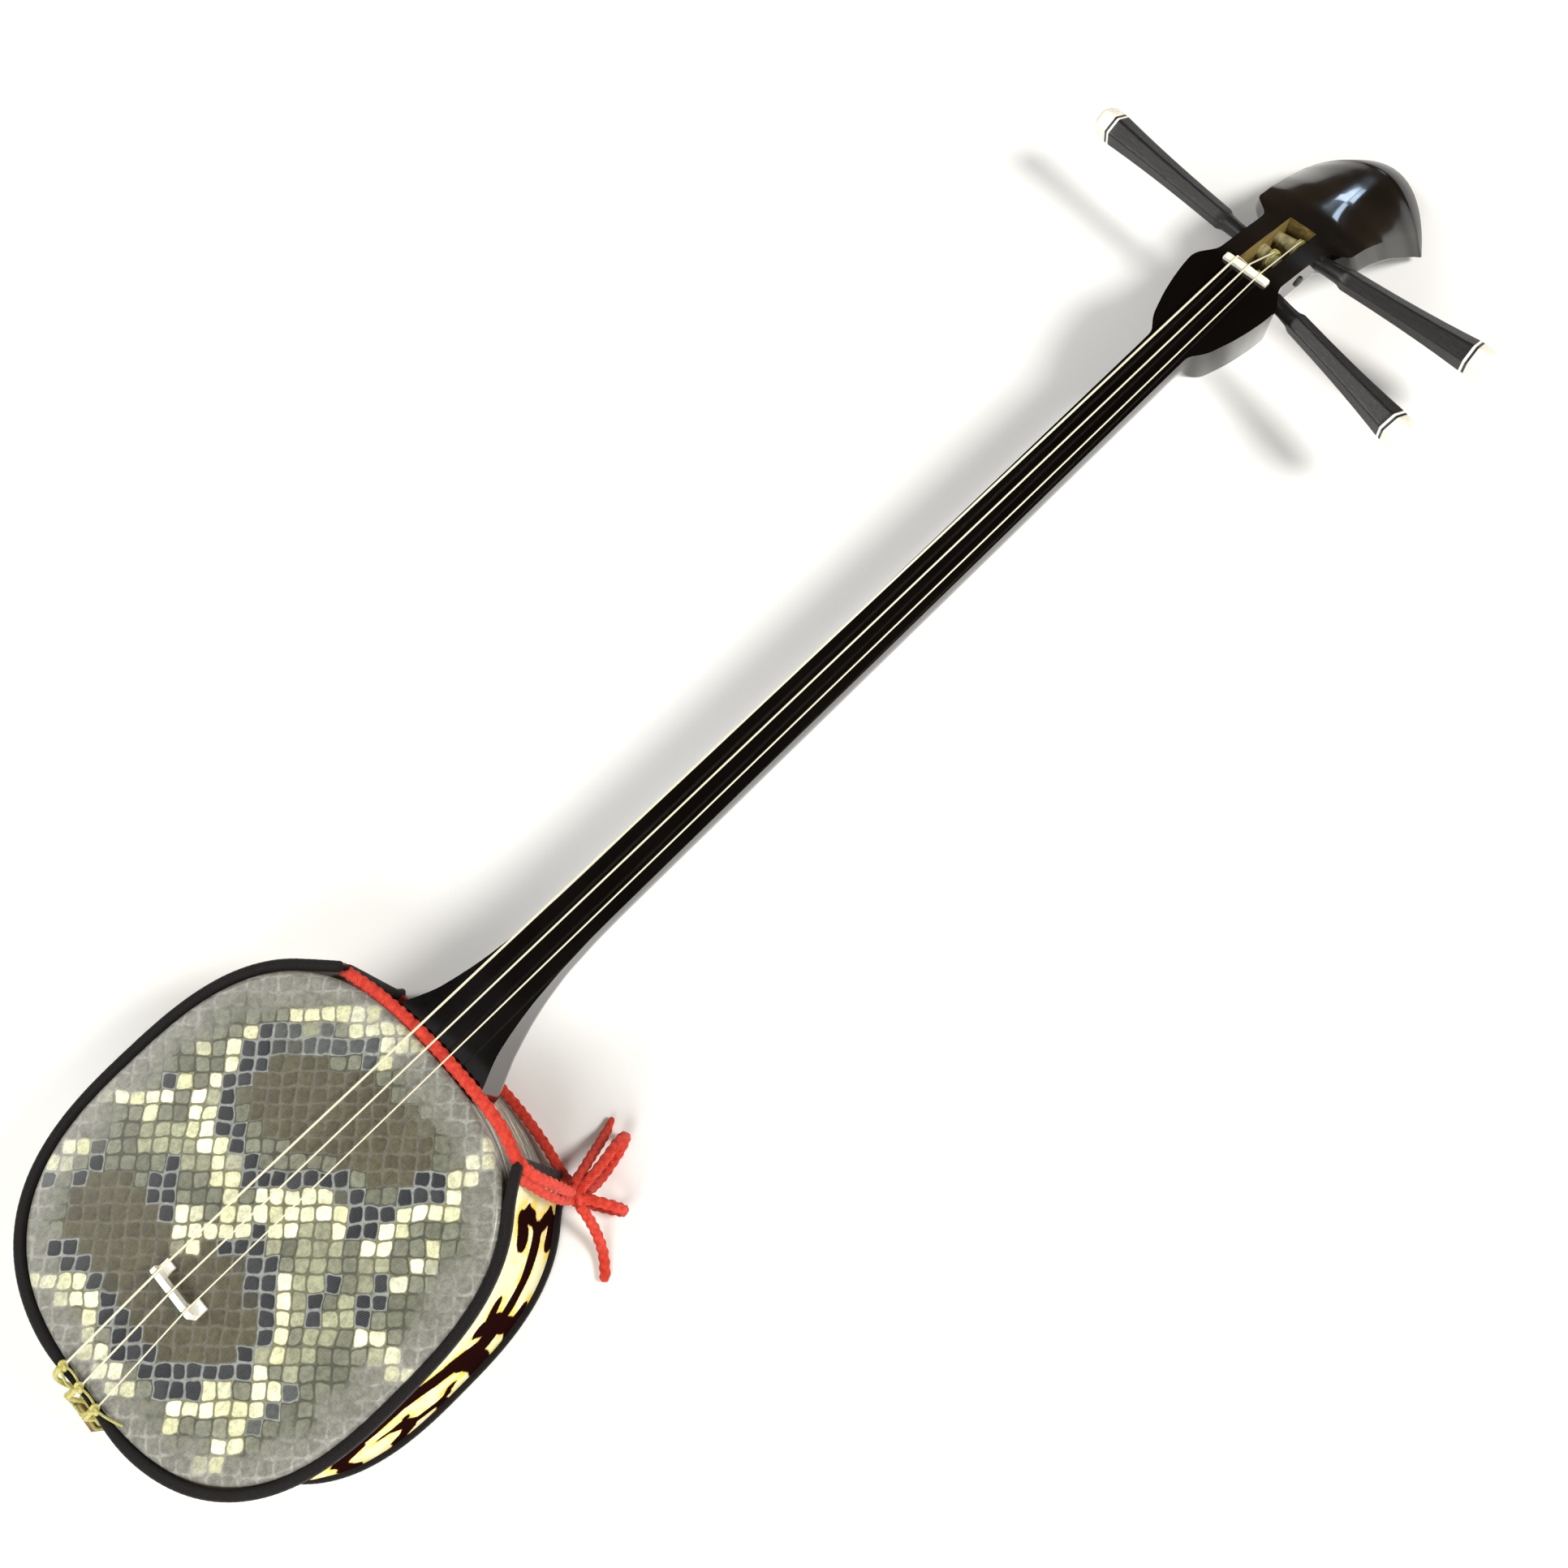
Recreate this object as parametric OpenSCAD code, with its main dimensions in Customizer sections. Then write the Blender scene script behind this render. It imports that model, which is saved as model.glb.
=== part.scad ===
// Okinawan three-string lute with a snakeskin body, lying on its back.
// X runs along the neck towards the head, Y points to the side with the single peg,
// and Z points up out of the front skin. The origin is the middle of the body's back.

/* [Body] */
// Half length of the skinned body, along the neck
body_half_len = 88.5; // [86:0.5:90]
// Half width of the skinned body
body_half_wid = 87; // [85:0.5:89]
// Height of the body from the back skin to the front skin
body_h = 70; // [68:1:72]
// Squareness of the body's outline (2 is an ellipse)
squareness = 2.74; // [2.4:0.02:3]
// Thickness of the skins
skin_t = 0.8; // [0.6:0.1:1.2]
// Thickness of the wooden frame blocks
frame_t = 13; // [10:1:16]

/* [Band] */
// Thickness of the band's stiff backing
backing_t = 1.6; // [1:0.1:2]
// Thickness of the band's fabric
fabric_t = 0.8; // [0.5:0.1:1]
// Width of the piping along the band's edges
piping_w = 4.7; // [4:0.1:5]
// Angle of the band's end on the +Y side
band_start = 29; // [27:1:34]
// Angle of the band's end on the -Y side
band_end = 327.5; // [322:0.5:329]

/* [Neck] */
// Distance from the bridge to the body's centre
bridge_x = 40; // [35:1:45]
// Position of the nut along the neck
nut_x = 571.5; // [571:0.1:572]
// Half width of the peg-box slot
slot_half = 7.2; // [7:0.1:7.5]
// Where the peg-box slot ends, towards the head
slot_end = 612.5; // [611:0.5:613]
// Depth of the slot's floor above the resting plane
slot_floor = 34.5; // [34:0.5:35]

/* [Strings] */
// Diameter of the thick string
thick_d = 1; // [0.8:0.1:1.1]
// Diameter of the middle string
middle_d = 0.8; // [0.6:0.1:0.9]
// Diameter of the thin string
thin_d = 0.65; // [0.5:0.05:0.8]
// Spacing of the outer strings from the middle one at the nut
nut_spread = 6.6; // [6:0.1:7]
// Spacing of the outer strings from the middle one at the bridge
bridge_spread = 9.6; // [9:0.1:10]

/* [Pegs] */
// Radius of a peg where it turns in the near wall
peg_near_r = 3.6; // [3.4:0.1:3.7]
// Radius of a peg where it turns in the far wall
peg_far_r = 2.6; // [2.4:0.1:2.8]
// Running clearance between a peg and its holes
peg_fit = 0.05; // [0.02:0.01:0.08]
// Distance from the middle of the peg box to the end of the thin string's peg handle
peg_handle_end = 94.5; // [92:0.5:97]
// Length of a peg's ivory cap
cap_len = 9; // [8:1:10]
// Diameter of the red cord
cord_d = 4; // [3.5:0.5:4.5]

/* [Hidden] */

// Points round the body's outline
OUTLINE_N = 72;
// Radius of the rounding where the skin turns over the rim
RIM_R = 3;
// Height where the front and back skins meet on the side
SKIN_SPLIT = 35;
// Band edges above the resting plane
BAND_LOW = 4;
BAND_HIGH = 66;
// How far the band's ends stand off the body, +Y end and -Y end
END_LIFT = [2, 4];
// Angle over which an end lifts
END_LIFT_ANGLE = 13;
// Radius of the piping on the band's ends
END_PIPING_R = 2.6;

// Neck profiles, each as [distance along X, value]
NECK_HALF_WIDTH = [
    [88, 26.5], [93.6, 25.2], [100, 22], [107, 19], [115, 17], [123, 15.3], [131, 14], [147, 12.3],
    [165, 11.3], [180, 11.1], [515, 10.1], [522.5, 10.2], [524, 12], [526.5, 14], [530, 16],
    [534, 17.3], [540, 19.4], [548, 21.4], [556, 22.8], [563, 23.4], [566, 22.4], [570, 19],
    [573.5, 16.7], [606, 16.7], [608, 18.5], [613, 26.2], [620, 26.4], [634, 27.2], [645, 28.3],
    [655, 29.3], [673, 30.8]
];
NECK_TOP = [
    [88, 63.4], [571, 57], [576, 56.2], [590, 52.8], [600, 50], [612, 46.8], [625, 43.6], [640, 39],
    [655, 33.8], [665, 30], [673, 26.5]
];
// Drop of the top surface from its middle to its edges
NECK_DROP = [[571, 0], [606, 0.8], [613, 1.6], [625, 2.7], [640, 5.5], [655, 8.8], [665, 11], [673, 13.4]];
// Height of the side wall below the top edge
NECK_SIDE = [
    [88, 26], [105, 22], [123, 14], [147, 7], [180, 4], [518, 4], [524, 17], [530, 21.5], [566, 22.5],
    [573, 14], [606, 12], [613, 10.5], [640, 9], [673, 9]
];
// Depth from the top surface to the lowest point of the section
NECK_DEPTH = [
    [88, 40], [100, 39.5], [112, 36], [123, 31], [136, 25], [150, 22], [165, 20.5], [180, 20],
    [515, 19.5], [524, 22], [532, 24], [560, 25], [571, 27], [580, 27], [606, 23.5], [613, 23], [630, 20],
    [650, 14], [673, 10.5]
];
// Growth of the half width from the top edge to the bottom edge
NECK_FLARE = [[88, -2], [123, -1], [180, 0], [518, 0], [530, -2.2], [566, -2.5], [573, -1.4], [606, -1.2],
    [613, 2.5], [640, 4.6], [673, 6.6]];
// How far a section's edges lag behind its middle
NECK_BOW = [[612, 0], [625, 1], [640, 3], [655, 5.5], [673, 8]];
// Shift of the bottom against the top, at the middle of a section and at its edges
NECK_SLANT_MID = [[606, 0], [640, 4], [673, 12]];
NECK_SLANT_EDGE = [[606, 0], [613, 3], [640, 1], [673, -2.5]];
NECK_STATIONS = [
    88.5, 92, 96, 100, 105, 110, 116, 122, 130, 138, 147, 158, 170, 182, 260, 340, 420, 500, 519, 522.5,
    524, 526.5, 530, 534, 540, 547, 554, 560, 563, 566, 569, 571.5, 573.5, 578, 585, 592, 599, 604,
    606, 608, 610.5, 613, 617, 623, 629, 635, 641, 647, 653, 659, 664, 669, 673
];
// Steps across the top of a section, and across its bottom
SECTION_STEPS = 10;
// Where the head begins, at one of the stations
HEAD_FROM = 560;

// The tenon through the body and the tail block that it ends in run straight between these two
TENON_FROM = -107;
TENON_TO = 88.4;
// Half width, top and bottom of the tenon at each end
TENON_HALF = [6.4, 11];
TENON_TOP = [44, 58];
TENON_BOTTOM = [31, 30];
function tenon(ends, x) = ends[0] + (ends[1] - ends[0]) * (x - TENON_FROM) / (TENON_TO - TENON_FROM);

WEDGE_T = 3;
FIT_GAP = 0.2;

// Each peg: [x on the middle plane, height, angle in plan, side it points to]
PEG_PLACE = [[578, 45.6, -12, -1], [592, 43.4, 5.7, 1], [604.6, 41.4, 2.5, -1]];
// How much longer each handle is than the thin string's
PEG_EXTRA = [-1, 6, 0];
function handle_end(k) = peg_handle_end + PEG_EXTRA[k];
PEG_TIP = -16.9;
// Where the handle's shoulder and its waist lie along the peg
SHOULDER_AT = 28;
WAIST_AT = 61;
// Radius of the handle at its shoulder, its waist and its end
SHOULDER_R = 5.2;
WAIST_R = 5.9;
HANDLE_R = 7.6;
// Thickness of each white or black line round a handle's end
PLATE_T = 1.2;
WINDING_R = 4.3;
WINDING_W = 4;
// Where each winding sits along its peg
WINDING_AT = [2, 0, 4.5];

BRIDGE_STRING_Z = 76.8;
NUT_TOP = 59;
NUT_BASE = 55.2;
NUT_T = 3;
SLOT_START = 572.8;
// Where the strings bend down behind the nut
NUT_BEND_X = 573.5;
// Clearance between a string and the nut below it
STRING_GAP = 0.06;
STRING_TAIL_X = -87.5;
STRING_TAIL_Z = 71.6;
TAIL_SPREAD = 10.8;

// Routes of the red cords
LACE_FRONT_ROUTE = [
    [84, 54, 64], [85.8, 47, 66], [88.6, 33, 66.4], [90.6, 15, 66.4], [91.4, -4, 66.4],
    [91.2, -25, 66.4], [89.8, -42, 66.4], [86.2, -56, 66], [85.8, -62.5, 60], [87, -67.5, 48],
    [87.4, -70, 36], [86.8, -70.8, 25]
];
LACE_BACK_ROUTE = [
    [84, 54, 9], [85.8, 47, 7], [88.6, 33, 6.4], [91, 15, 6.2], [91.8, -4, 6.2], [91.4, -25, 6.2],
    [89.8, -42, 6.4], [87.4, -56, 7.4], [87.4, -63.5, 11.5], [87.2, -69, 18]
];
BOW_LOOP_LONG_ROUTE = [
    [89, -71, 21], [95, -70.5, 20.4], [101, -69.5, 18.6], [107, -68.2, 16.8], [112, -66.8, 14.6],
    [115.8, -65.8, 11.4], [117, -65.4, 8], [115.4, -65.6, 4.6], [111.6, -66.6, 2.6],
    [106, -68, 2.4], [100, -69.6, 4], [94.6, -71.4, 9], [90.6, -72.4, 15]
];
BOW_LOOP_SHORT_ROUTE = [
    [88.4, -74.2, 20.6], [91, -78, 19.8], [93.4, -82, 17.8], [95.4, -85.6, 14.8],
    [96.2, -87.6, 11], [95.6, -87.6, 6.6], [93.6, -85, 3.4], [90.8, -80.8, 3.6],
    [88.4, -77, 8], [87, -75, 13]
];
BOW_TAIL_UPPER_ROUTE = [
    [89.6, -67.6, 22], [95.4, -65.6, 18.6], [101.4, -62.6, 13.2], [107.4, -59.6, 7.4],
    [112.4, -57, 3.4], [117.4, -54.4, 2.2]
];
BOW_TAIL_LOWER_ROUTE = [
    [85.6, -75.4, 20.6], [84.4, -80.4, 16.4], [81.8, -86.2, 10], [78, -92.2, 4.4],
    [73.6, -97.6, 2.3], [70, -101.4, 2.1]
];
KNOT_CENTRE = [86.6, -71, 20.5];

function smooth(x, table) = (lookup(x - 1.5, table) + 2 * lookup(x, table) + lookup(x + 1.5, table)) / 4;
function power(v, p) = sign(v) * pow(abs(v), p);

// A point of the body's outline, grown outwards by g, at parameter t
function rim(t, g) = [
    (body_half_len + g) * power(cos(t), 2 / squareness),
    (body_half_wid + g) * power(sin(t), 2 / squareness)
];
function outline(g) = [for (i = [0:OUTLINE_N - 1]) rim(i * 360 / OUTLINE_N, g)];

// How far the band stands off the body at parameter t
function lift(t) = END_LIFT[0] * pow(max(0, 1 - (t - band_start) / END_LIFT_ANGLE), 2)
    + END_LIFT[1] * pow(max(0, 1 - (band_end - t) / END_LIFT_ANGLE), 2);

// One face of a strip that follows the band
BAND_N = 72;
function band_side(g) = [
    for (i = [0:BAND_N])
        let (t = band_start + i * (band_end - band_start) / BAND_N) rim(t, g + lift(t))
];
function reversed(list) = [for (i = [len(list) - 1:-1:0]) list[i]];

// A closed solid through rings of the same even number of points
module loft(rings) {
    m = len(rings[0]);
    last = (len(rings) - 1) * m;
    points = [for (ring = rings) each ring];
    sides = [
        for (k = [0:len(rings) - 2], i = [0:m - 1])
            let (a = k * m + i, b = k * m + (i + 1) % m) each [[a, a + m, b], [b, a + m, b + m]]
    ];
    first_cap = [
        for (i = [0:m / 2 - 2])
            each [[i, i + 1, m - 1 - i], [i + 1, m - 2 - i, m - 1 - i]]
    ];
    last_cap = [for (f = first_cap) [last + f[0], last + f[2], last + f[1]]];
    polyhedron(points = points, faces = concat(sides, first_cap, last_cap), convexity = 10);
}

function unit(v) = v / norm(v);
// Direction of a route at point i
function heading(route, i) = unit(route[min(i + 1, len(route) - 1)] - route[max(i - 1, 0)]);

// A tube of diameter d along a route
module tube(route, d) {
    sides = 8;
    loft([
        for (i = [0:len(route) - 1])
            let (
                along = heading(route, i),
                across = unit(cross(along, [0.1, 0.2, 1])),
                up = cross(across, along)
            )
            [for (s = [0:sides - 1]) route[i]
                + d / 2 * (cos(s * 360 / sides + 22.5) * across - sin(s * 360 / sides + 22.5) * up)]
    ]);
}

// Rings of a cap-shaped surface, from its low edge up over its rounded rim to its flat top
function cap_rings(inset, low, high, radius) = [
    for (row = concat(
        [[0, low]],
        [for (a = [0:22.5:90]) [radius * (1 - cos(a)), high - radius * (1 - sin(a))]]
    ))
        [for (p = outline(-inset - row[0])) [p[0], p[1], row[1]]]
];

// A cap-shaped shell of thickness skin_t, open at its low edge
module cap_shell(low, high) {
    inner = cap_rings(skin_t, low, high - skin_t, RIM_R - skin_t / 2);
    loft(concat(reversed(inner), cap_rings(0, low, high, RIM_R)));
}

// The hole for the tenon between x = a and x = b, with room for a wedge below
module mortise(a, b) {
    loft([
        for (x = [a, b])
            let (half = tenon(TENON_HALF, x) + FIT_GAP, high = tenon(TENON_TOP, x) + FIT_GAP,
                low = tenon(TENON_BOTTOM, x) - WEDGE_T - FIT_GAP)
            [[x, -half, low], [x, half, low], [x, half, high], [x, -half, high]]
    ]);
}

// Body

// One frame block's outline between two parameters, shrunk by inset on the outside
module block_plan(from, inset) {
    steps = OUTLINE_N / 4;
    polygon(concat(
        [for (i = [0:steps]) rim(from + i * 90 / steps, -inset)],
        [for (i = [steps:-1:0]) rim(from + i * 90 / steps, -skin_t - frame_t)]
    ));
}

// A block, with its outer edges stepped back where the skin turns over the rim
module frame_block(from) {
    color("burlywood") {
        translate([0, 0, RIM_R + skin_t]) linear_extrude(body_h - 2 * (RIM_R + skin_t))
            block_plan(from, skin_t);
        for (z = [skin_t, body_h - skin_t - RIM_R]) translate([0, 0, z]) linear_extrude(RIM_R)
            block_plan(from, skin_t + RIM_R);
    }
}

module frame_block_head() {
    difference() {
        frame_block(-45);
        mortise(65, 95);
    }
}
module frame_block_tail() {
    difference() {
        frame_block(135);
        mortise(-95, -65);
    }
}
module frame_block_left() { frame_block(45); }
module frame_block_right() { frame_block(225); }

module front_skin() {
    color("darkolivegreen") difference() {
        cap_shell(SKIN_SPLIT, body_h);
        mortise(80, 95);
        mortise(-95, -80);
    }
}

module back_skin() {
    color("dimgray") difference() {
        translate([0, 0, body_h]) mirror([0, 0, 1]) cap_shell(body_h - SKIN_SPLIT, body_h);
        mortise(80, 95);
        mortise(-95, -80);
    }
}

// Neck

// Section of the tenon, with as many points as a section of the neck
function tenon_section(x) =
    let (half = tenon(TENON_HALF, x), high = tenon(TENON_TOP, x), low = tenon(TENON_BOTTOM, x))
    [
        for (z = [high, low], i = [0:SECTION_STEPS])
            let (u = 1 - 2 * i / SECTION_STEPS) [x, half * (z == high ? u : -u), z]
    ];

function neck_section(x) =
    let (
        w = smooth(x, NECK_HALF_WIDTH), top = smooth(x, NECK_TOP), drop = smooth(x, NECK_DROP),
        side = smooth(x, NECK_SIDE), depth = smooth(x, NECK_DEPTH), flare = smooth(x, NECK_FLARE),
        bow = smooth(x, NECK_BOW), mid = smooth(x, NECK_SLANT_MID), edge = smooth(x, NECK_SLANT_EDGE)
    )
    concat(
        [
            for (i = [0:SECTION_STEPS])
                let (u = 1 - 2 * i / SECTION_STEPS) [x - bow * u * u, w * u, top - drop * u * u]
        ],
        [
            for (i = [SECTION_STEPS:-1:0])
                let (
                    u = cos(i * 180 / SECTION_STEPS),
                    below = side + (depth - side) * sqrt(1 - u * u)
                )
                [
                    x - bow * u * u + mid + (edge - mid) * u * u,
                    (w + flare) * u,
                    top - drop * u * u - below
                ]
        ]
    );

module peg_frame(k) {
    place = PEG_PLACE[k];
    translate([place[0], 0, place[1]]) rotate([0, 0, place[2] * -place[3]])
        rotate([-90 * place[3], 0, 0]) children();
}

module peg_holes() {
    for (k = [0:2]) peg_frame(k) {
        translate([0, 0, -30]) cylinder(h = 30, r = peg_far_r + peg_fit, $fn = 48);
        cylinder(h = 30, r = peg_near_r + peg_fit, $fn = 48);
    }
}

module neck() {
    color("black") loft(concat(
        [for (x = [TENON_FROM, 0, TENON_TO]) tenon_section(x)],
        [for (x = NECK_STATIONS) if (x <= HEAD_FROM) neck_section(x)]
    ));
}

// Peg box and fan, carved from the same piece of wood as the neck
module peg_head() {
    color("black") difference() {
        loft([for (x = NECK_STATIONS) if (x >= HEAD_FROM) neck_section(x)]);
        translate([SLOT_START, -slot_half, slot_floor])
            cube([slot_end - SLOT_START, 2 * slot_half, 40]);
        translate([nut_x - NUT_T / 2, -12, NUT_BASE]) cube([NUT_T, 24, 10]);
        peg_holes();
    }
}

// A thin wedge under the tenon, thick at x = a and thin at x = b
module wedge(a, b) {
    rings = [
        for (s = [[a, WEDGE_T], [b, 0.6]])
            let (half = tenon(TENON_HALF, s[0]), z = tenon(TENON_BOTTOM, s[0]))
            [[s[0], -half, z - s[1]], [s[0], half, z - s[1]], [s[0], half, z], [s[0], -half, z]]
    ];
    color("tan") loft(a < b ? rings : reversed(rings));
}

module neck_wedge() { wedge(88, 66); }
module tail_wedge() { wedge(-84, -62); }

module nut() {
    color("ivory") translate([nut_x, 0, 0]) rotate([0, 90, 0]) translate([0, 0, -NUT_T / 2])
        linear_extrude(NUT_T) polygon([
            [-NUT_BASE, -11.8], [-NUT_BASE, 11.8], [-58.4, 11.8], [-NUT_TOP, 10.6],
            [-NUT_TOP, -10.6], [-58.4, -11.8]
        ]);
}

module bridge() {
    foot_y = 13;
    skin_gap = 0.05;
    color("ivory") translate([-bridge_x, 0, body_h + skin_gap]) {
        difference() {
            // The bar with its two feet, then the notches that the strings lie in
            rotate([90, 0, 90]) translate([0, 0, -1.2]) linear_extrude(2.4) polygon([
                [-foot_y, 0], [-foot_y + 5, 0], [-foot_y + 6.5, 3.2], [foot_y - 6.5, 3.2],
                [foot_y - 5, 0], [foot_y, 0], [foot_y - 0.6, 6.6], [foot_y - 1.6, 7.3],
                [-foot_y + 1.6, 7.3], [-foot_y + 0.6, 6.6]
            ]);
            for (y = [-1, 0, 1]) translate([-5, y * bridge_spread - 0.8, 5.8]) cube([10, 1.6, 5]);
        }
        for (s = [-1, 1]) translate([-1.2, s * (foot_y - 2.5) - 2.5, 0]) cube([6, 5, 1.4]);
    }
}

// Band

module band_strip(inner, outer, low, high) {
    translate([0, 0, low]) linear_extrude(high - low)
        polygon(concat(band_side(outer), reversed(band_side(inner))));
}

// A layer of the band, with its hole for the tail block
module band_layer(inner, outer) {
    difference() {
        band_strip(inner, outer, BAND_LOW, BAND_HIGH);
        mortise(-95, -80);
    }
}

module band_backing() { color("saddlebrown") band_layer(0.1, backing_t); }
module band_fabric() { color("khaki") band_layer(backing_t, backing_t + fabric_t); }
module band_piping_front() { color("black") band_strip(0.1, piping_w, BAND_HIGH, BAND_HIGH + 4); }
module band_piping_back() { color("black") band_strip(0.1, piping_w, 0.6, BAND_LOW); }
module band_piping_ends() {
    color("black") for (t = [band_start, band_end]) {
        p = rim(t, 2.4 + lift(t));
        out = t == band_start ? -1 : 1;
        shift = END_PIPING_R * 1.05 * unit([-p[1], p[0]]) * out;
        translate([p[0] + shift[0], p[1] + shift[1], 3]) cylinder(h = 64, r = END_PIPING_R, $fn = 32);
    }
}

// Red cords

module lace_front() { color("red") tube(LACE_FRONT_ROUTE, cord_d); }
module lace_back() { color("red") tube(LACE_BACK_ROUTE, cord_d); }
module lace_knot() {
    color("red") translate(KNOT_CENTRE) hull() {
        translate([-1.5, 1, 1.5]) sphere(d = 8, $fn = 20);
        translate([1.5, -1.5, -1.5]) sphere(d = 8, $fn = 20);
    }
}
module bow_loop_long() { color("red") tube(BOW_LOOP_LONG_ROUTE, cord_d); }
module bow_loop_short() { color("red") tube(BOW_LOOP_SHORT_ROUTE, cord_d); }
module bow_tail_upper() { color("red") tube(BOW_TAIL_UPPER_ROUTE, cord_d); }
module bow_tail_lower() { color("red") tube(BOW_TAIL_LOWER_ROUTE, cord_d); }

// Strings

// Where a string leaves for its winding: the top of the winding
function winding_top(k) =
    let (place = PEG_PLACE[k], s = place[3] * WINDING_AT[k])
    [place[0] + s * sin(place[2]) * place[3], s, place[1] + WINDING_R + 0.5];

module string(side, k, d) {
    color("ivory") tube([
        [STRING_TAIL_X, side * TAIL_SPREAD, STRING_TAIL_Z],
        [-bridge_x, side * bridge_spread, BRIDGE_STRING_Z],
        [NUT_BEND_X, side * nut_spread, NUT_TOP + STRING_GAP + d / 2],
        winding_top(k) + [0, 0, d / 2]
    ], d);
}

module string_thick() { string(1, 0, thick_d); }
module string_middle() { string(0, 1, middle_d); }
module string_thin() { string(-1, 2, thin_d); }

module tail_cord() {
    rim_z = body_h + 1.6;
    color("gold") {
        for (y = [-TAIL_SPREAD, 0, TAIL_SPREAD]) tube([
            [STRING_TAIL_X - 1, y, rim_z], [-92, y * 0.95, rim_z - 0.2], [-95.4, y * 0.9, rim_z - 2.4],
            [-97.4, y * 0.8, 60], [-99.6, y * 0.65, 45.6]
        ], 1.6);
        // Wraps round the tail block
        for (x = [-98, -101]) translate([x, 0, 37.83]) rotate([90, 0, 90])
            translate([0, 0, -1]) linear_extrude(2) difference() {
                square([16.9, 17.4], center = true);
                square([13.7, 14.2], center = true);
            }
    }
}
module tail_cord_knots() {
    color("gold") for (y = [-1, 0, 1]) translate([STRING_TAIL_X - 1, y * TAIL_SPREAD, body_h + 1.7])
        sphere(d = 3.2, $fn = 24);
}

// Pegs

// A six-sided solid about the peg's axis, through rows of [distance along the axis, radius]
module hexagonal(rows) {
    loft([
        for (row = rows) [for (a = [30:60:330]) [row[1] * cos(a), row[1] * sin(a), row[0]]]
    ]);
}

module peg(k) {
    color("dimgray") peg_frame(k) {
        rotate_extrude($fn = 48) polygon([
            [0, PEG_TIP], [peg_far_r, PEG_TIP], [peg_far_r, -6], [peg_near_r, 6], [peg_near_r, 19],
            [4, SHOULDER_AT + 1], [0, SHOULDER_AT + 1]
        ]);
        hexagonal([
            [SHOULDER_AT, 4.8], [SHOULDER_AT + 3, SHOULDER_R], [WAIST_AT, WAIST_R],
            [handle_end(k), HANDLE_R]
        ]);
    }
}
module peg_plate(k, at, thickness) {
    peg_frame(k) hexagonal([[at, HANDLE_R], [at + thickness, HANDLE_R]]);
}
module peg_line_white(k) { color("white") peg_plate(k, handle_end(k), PLATE_T); }
module peg_line_black(k) { color("black") peg_plate(k, handle_end(k) + PLATE_T, PLATE_T); }
module peg_cap(k) {
    base = handle_end(k) + 2 * PLATE_T;
    color("ivory") peg_frame(k) hexagonal([
        [base, HANDLE_R], [base + cap_len - 3.5, HANDLE_R - 0.3], [base + cap_len - 1.2, HANDLE_R - 1.6],
        [base + cap_len, HANDLE_R - 4]
    ]);
}
module peg_winding(k) {
    core_r = peg_near_r + 0.02;
    color("khaki") peg_frame(k) translate([0, 0, WINDING_AT[k] - WINDING_W / 2]) difference() {
        cylinder(h = WINDING_W, r = WINDING_R, $fn = 48);
        translate([0, 0, -1]) cylinder(h = WINDING_W + 2, r = core_r, $fn = 48);
    }
}

module peg_thick() { peg(0); }
module peg_thick_line_white() { peg_line_white(0); }
module peg_thick_line_black() { peg_line_black(0); }
module peg_thick_cap() { peg_cap(0); }
module peg_thick_winding() { peg_winding(0); }
module peg_middle() { peg(1); }
module peg_middle_line_white() { peg_line_white(1); }
module peg_middle_line_black() { peg_line_black(1); }
module peg_middle_cap() { peg_cap(1); }
module peg_middle_winding() { peg_winding(1); }
module peg_thin() { peg(2); }
module peg_thin_line_white() { peg_line_white(2); }
module peg_thin_line_black() { peg_line_black(2); }
module peg_thin_cap() { peg_cap(2); }
module peg_thin_winding() { peg_winding(2); }

frame_block_head();
frame_block_tail();
frame_block_left();
frame_block_right();
front_skin();
back_skin();
neck();
peg_head();
neck_wedge();
tail_wedge();
nut();
bridge();
band_backing();
band_fabric();
band_piping_front();
band_piping_back();
band_piping_ends();
lace_front();
lace_back();
lace_knot();
bow_loop_long();
bow_loop_short();
bow_tail_upper();
bow_tail_lower();
string_thick();
string_middle();
string_thin();
tail_cord();
tail_cord_knots();
peg_thick();
peg_thick_line_white();
peg_thick_line_black();
peg_thick_cap();
peg_thick_winding();
peg_middle();
peg_middle_line_white();
peg_middle_line_black();
peg_middle_cap();
peg_middle_winding();
peg_thin();
peg_thin_line_white();
peg_thin_line_black();
peg_thin_cap();
peg_thin_winding();
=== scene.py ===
import math

import bmesh
import bpy
from mathutils import Matrix, Vector


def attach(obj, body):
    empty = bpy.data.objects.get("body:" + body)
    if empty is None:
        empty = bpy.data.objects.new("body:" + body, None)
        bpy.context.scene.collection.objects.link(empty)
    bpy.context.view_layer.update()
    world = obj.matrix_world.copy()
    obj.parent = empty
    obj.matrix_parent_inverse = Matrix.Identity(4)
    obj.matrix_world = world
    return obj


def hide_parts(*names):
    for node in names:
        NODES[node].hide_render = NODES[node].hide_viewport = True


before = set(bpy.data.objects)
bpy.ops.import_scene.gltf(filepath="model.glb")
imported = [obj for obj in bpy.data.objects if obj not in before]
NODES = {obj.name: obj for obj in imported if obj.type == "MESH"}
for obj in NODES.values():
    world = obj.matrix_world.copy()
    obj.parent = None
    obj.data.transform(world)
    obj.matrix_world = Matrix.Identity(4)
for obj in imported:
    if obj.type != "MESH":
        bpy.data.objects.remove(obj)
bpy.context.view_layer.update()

MM = 0.001


def points(rows):
    """Rows of millimetres as vectors in metres."""
    return [Vector(row) * MM for row in rows]


def new_object(name, data):
    obj = bpy.data.objects.new(name, data)
    bpy.context.collection.objects.link(obj)
    return obj


# ---------------- camera and light

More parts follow.
